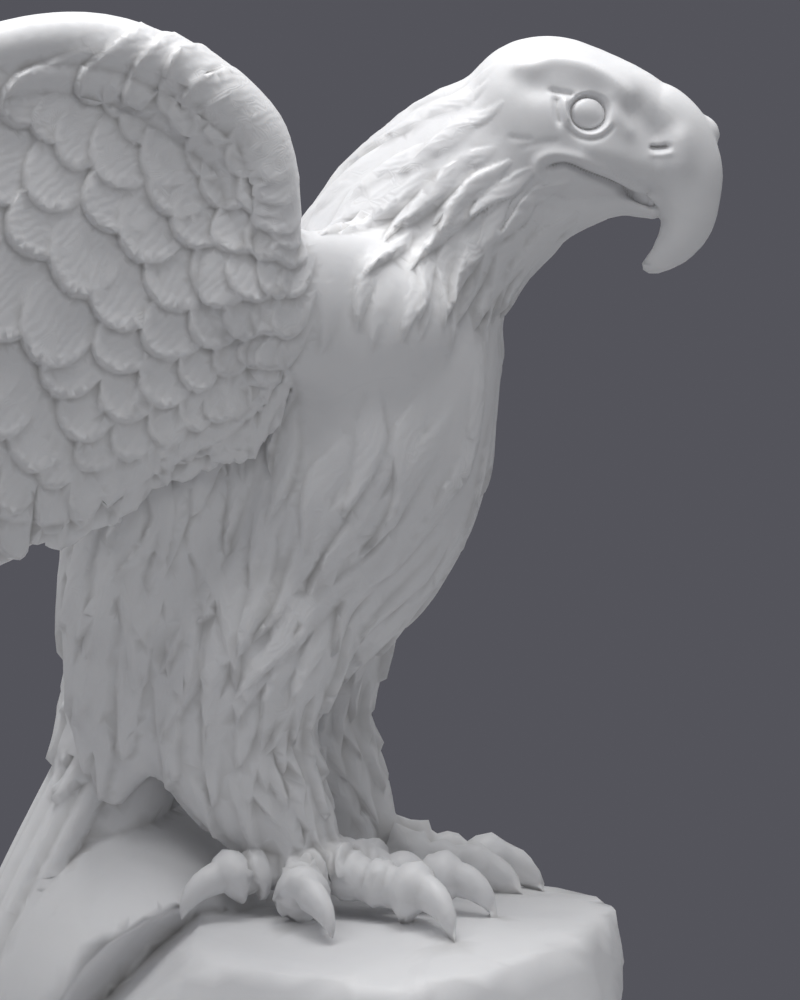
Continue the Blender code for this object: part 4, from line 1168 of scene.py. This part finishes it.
class OBJECT_OT_carve_eagle(bpy.types.Operator):
    """Carve the whole eagle and its rock as one piece of marble"""

    bl_idname = "object.carve_eagle"
    bl_label = "Carve eagle"

    def execute(self, context):
        carving, finish = context.scene.eagle_carving, context.scene.eagle_marble
        grain = carving.grain * 1
        eagle = figure(grain / SHARE)
        eagle.name = eagle.data.name = "carved_eagle"
        found, barbs = carve(eagle)
        thinned(eagle, carving.triangles)
        traced(eagle, found, barbs)
        stood_in_place(eagle)
        eagle.data.shade_smooth()
        faceted = eagle.modifiers.new("faceted", "WEIGHTED_NORMAL")
        faceted.weight = 60
        settled(eagle)
        eagle.data.materials.clear()
        eagle.data.materials.append(marble(finish.stone, finish.cloud, finish.painted_shade, finish.roughness))
        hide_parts(BLOCK)
        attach(eagle, BODY)
        return {"FINISHED"}


def looking(obj, place, target):
    """Puts an object at a place, turned towards a target."""
    obj.location = place
    obj.rotation_euler = (Vector(target) - Vector(place)).to_track_quat("-Z", "Y").to_euler()
    bpy.context.scene.collection.objects.link(obj)
    return obj


def soft_light(name, power, side, place, target):
    """A square light that looks from its place to a target."""
    light = bpy.data.lights.new(name, "AREA")
    light.shape = "SQUARE"
    light.size = side
    light.energy = power
    return looking(bpy.data.objects.new(name, light), place, target)


# The soft lights: name, length of each one's side, and place from the middle of the view, in metres
LIGHTS = (
    ("key", 0.8, (0, -0.02, 1.4)), ("fill", 0.7, (-0.8, -0.4, 1.17)), ("front", 0.4, (0.3, -0.8, 0.75)),
)
VIEW_HEIGHT = 200  # the height of the view's middle over the rock's top, in shares
VIEW_SPAN = 500  # how much the view takes in along its longer side, in shares
CAMERA_RISE = math.radians(4)
FLOOR_GAP = 0.0004  # keeps the floor just under the stone, in metres
FLOOR_HALF = (0.48, 0.42)  # along X and Y, in metres
FLOOR_CORNER = 0.12
ROOM_TINT = (0.95, 0.96, 1.0)


def floor_slab(colour, middle):
    """A pale floor with rounded corners, small enough to stay out of the view from the front."""
    steps = 10
    outline = []
    for quarter in range(4):
        across = (1, -1, -1, 1)[quarter] * (FLOOR_HALF[0] - FLOOR_CORNER)
        along = (1, 1, -1, -1)[quarter] * (FLOOR_HALF[1] - FLOOR_CORNER)
        for step in range(steps + 1):
            angle = math.pi / 2 * (quarter + step / steps)
            x, y = across + FLOOR_CORNER * math.cos(angle), along + FLOOR_CORNER * math.sin(angle)
            outline.append((x, y, 0))
    mesh = bpy.data.meshes.new("floor")
    mesh.from_pydata([tuple(Vector(p) + middle) for p in outline], [], [tuple(range(len(outline)))])
    floor = bpy.data.objects.new("floor", mesh)
    bpy.context.scene.collection.objects.link(floor)
    material = bpy.data.materials.new("floor_paint")
    material.use_nodes = True
    nodes, links = material.node_tree.nodes, material.node_tree.links
    shader = nodes["Principled BSDF"]
    shader.inputs["Roughness"].default_value = 0.8
    place = nodes.new("ShaderNodeTexCoord")
    specks = nodes.new("ShaderNodeTexNoise")
    specks.inputs["Scale"].default_value = 35
    links.new(place.outputs["Object"], specks.inputs["Vector"])
    tone = nodes.new("ShaderNodeMix")
    tone.data_type = "RGBA"
    tone.inputs[6].default_value = (*colour, 1)
    tone.inputs[7].default_value = (*[0.96 * c for c in colour], 1)
    links.new(specks.outputs["Fac"], tone.inputs["Factor"])
    links.new(tone.outputs[2], shader.inputs["Base Color"])
    mesh.materials.append(material)
    return floor


def surroundings(backdrop, strength):
    """A plain grey behind the sculpture, and a soft even light on it."""
    world = bpy.data.worlds.new("studio")
    bpy.context.scene.world = world
    world.use_nodes = True
    nodes, links = world.node_tree.nodes, world.node_tree.links
    seen = nodes["Background"]
    seen.inputs["Color"].default_value = (*backdrop, 1)
    room = nodes.new("ShaderNodeBackground")
    room.inputs["Color"].default_value = (*ROOM_TINT, 1)
    room.inputs["Strength"].default_value = strength
    path = nodes.new("ShaderNodeLightPath")
    both = nodes.new("ShaderNodeMixShader")
    links.new(path.outputs["Is Camera Ray"], both.inputs["Fac"])
    links.new(room.outputs["Background"], both.inputs[1])
    links.new(seen.outputs["Background"], both.inputs[2])
    links.new(both.outputs["Shader"], nodes["World Output"].inputs["Surface"])


class SCENE_OT_set_eagle_stage(bpy.types.Operator):
    """Set the floor, the backdrop, the soft lights and the camera"""

    bl_idname = "scene.set_eagle_stage"
    bl_label = "Set stage"

    def execute(self, context):
        stage = context.scene.eagle_stage
        eagle = bpy.data.objects["carved_eagle"]
        origin = Vector(eagle["figure_origin"])
        floor_slab(stage.floor, Vector((0, 0, BLOCK_LOW.z - FLOOR_GAP)))
        surroundings(stage.backdrop, stage.surround)
        aim = origin + Vector((0, 0, VIEW_HEIGHT)) * SHARE
        powers = (stage.key_power, stage.fill_power, stage.front_power)
        for (name, side, place), power in zip(LIGHTS, powers):
            soft_light(name, power, side, aim + Vector(place), aim)
        back = Vector((0, -math.cos(CAMERA_RISE), math.sin(CAMERA_RISE)))
        lens = bpy.data.cameras.new("camera")
        lens.sensor_width = 36
        lens.lens = lens.sensor_width * stage.distance / (VIEW_SPAN * SHARE)
        camera = looking(bpy.data.objects.new("camera", lens), aim + stage.distance * back, aim)
        context.scene.camera = camera
        context.scene.view_settings.view_transform = "Standard"
        return {"FINISHED"}


class VIEW3D_PT_marble_eagle(bpy.types.Panel):
    """Lists the steps that make the marble eagle and its stage"""

    bl_label = "Marble eagle"
    bl_idname = "VIEW3D_PT_marble_eagle"
    bl_space_type = "VIEW_3D"
    bl_region_type = "UI"
    bl_category = "Eagle"

    def draw(self, context):
        layout, scene = self.layout, context.scene
        for title, group, step in (
            ("Carving", scene.eagle_carving, None),
            ("Marble", scene.eagle_marble, "object.carve_eagle"),
            ("Stage", scene.eagle_stage, "scene.set_eagle_stage"),
        ):
            box = layout.box()
            box.label(text=title)
            for name in group.bl_rna.properties.keys():
                if name not in {"rna_type", "name"}:
                    box.prop(group, name)
            if step:
                box.operator(step)


CLASSES = (
    CarvingSettings, MarbleSettings, StageSettings, OBJECT_OT_carve_eagle, SCENE_OT_set_eagle_stage,
    VIEW3D_PT_marble_eagle,
)


def register():
    for made in CLASSES:
        bpy.utils.register_class(made)
    bpy.types.Scene.eagle_carving = PointerProperty(type=CarvingSettings)
    bpy.types.Scene.eagle_marble = PointerProperty(type=MarbleSettings)
    bpy.types.Scene.eagle_stage = PointerProperty(type=StageSettings)


def unregister():
    del bpy.types.Scene.eagle_stage
    del bpy.types.Scene.eagle_marble
    del bpy.types.Scene.eagle_carving
    for made in reversed(CLASSES):
        bpy.utils.unregister_class(made)


def main():
    register()
    bpy.ops.object.carve_eagle()
    bpy.ops.scene.set_eagle_stage()


if __name__ == "__main__":
    main()
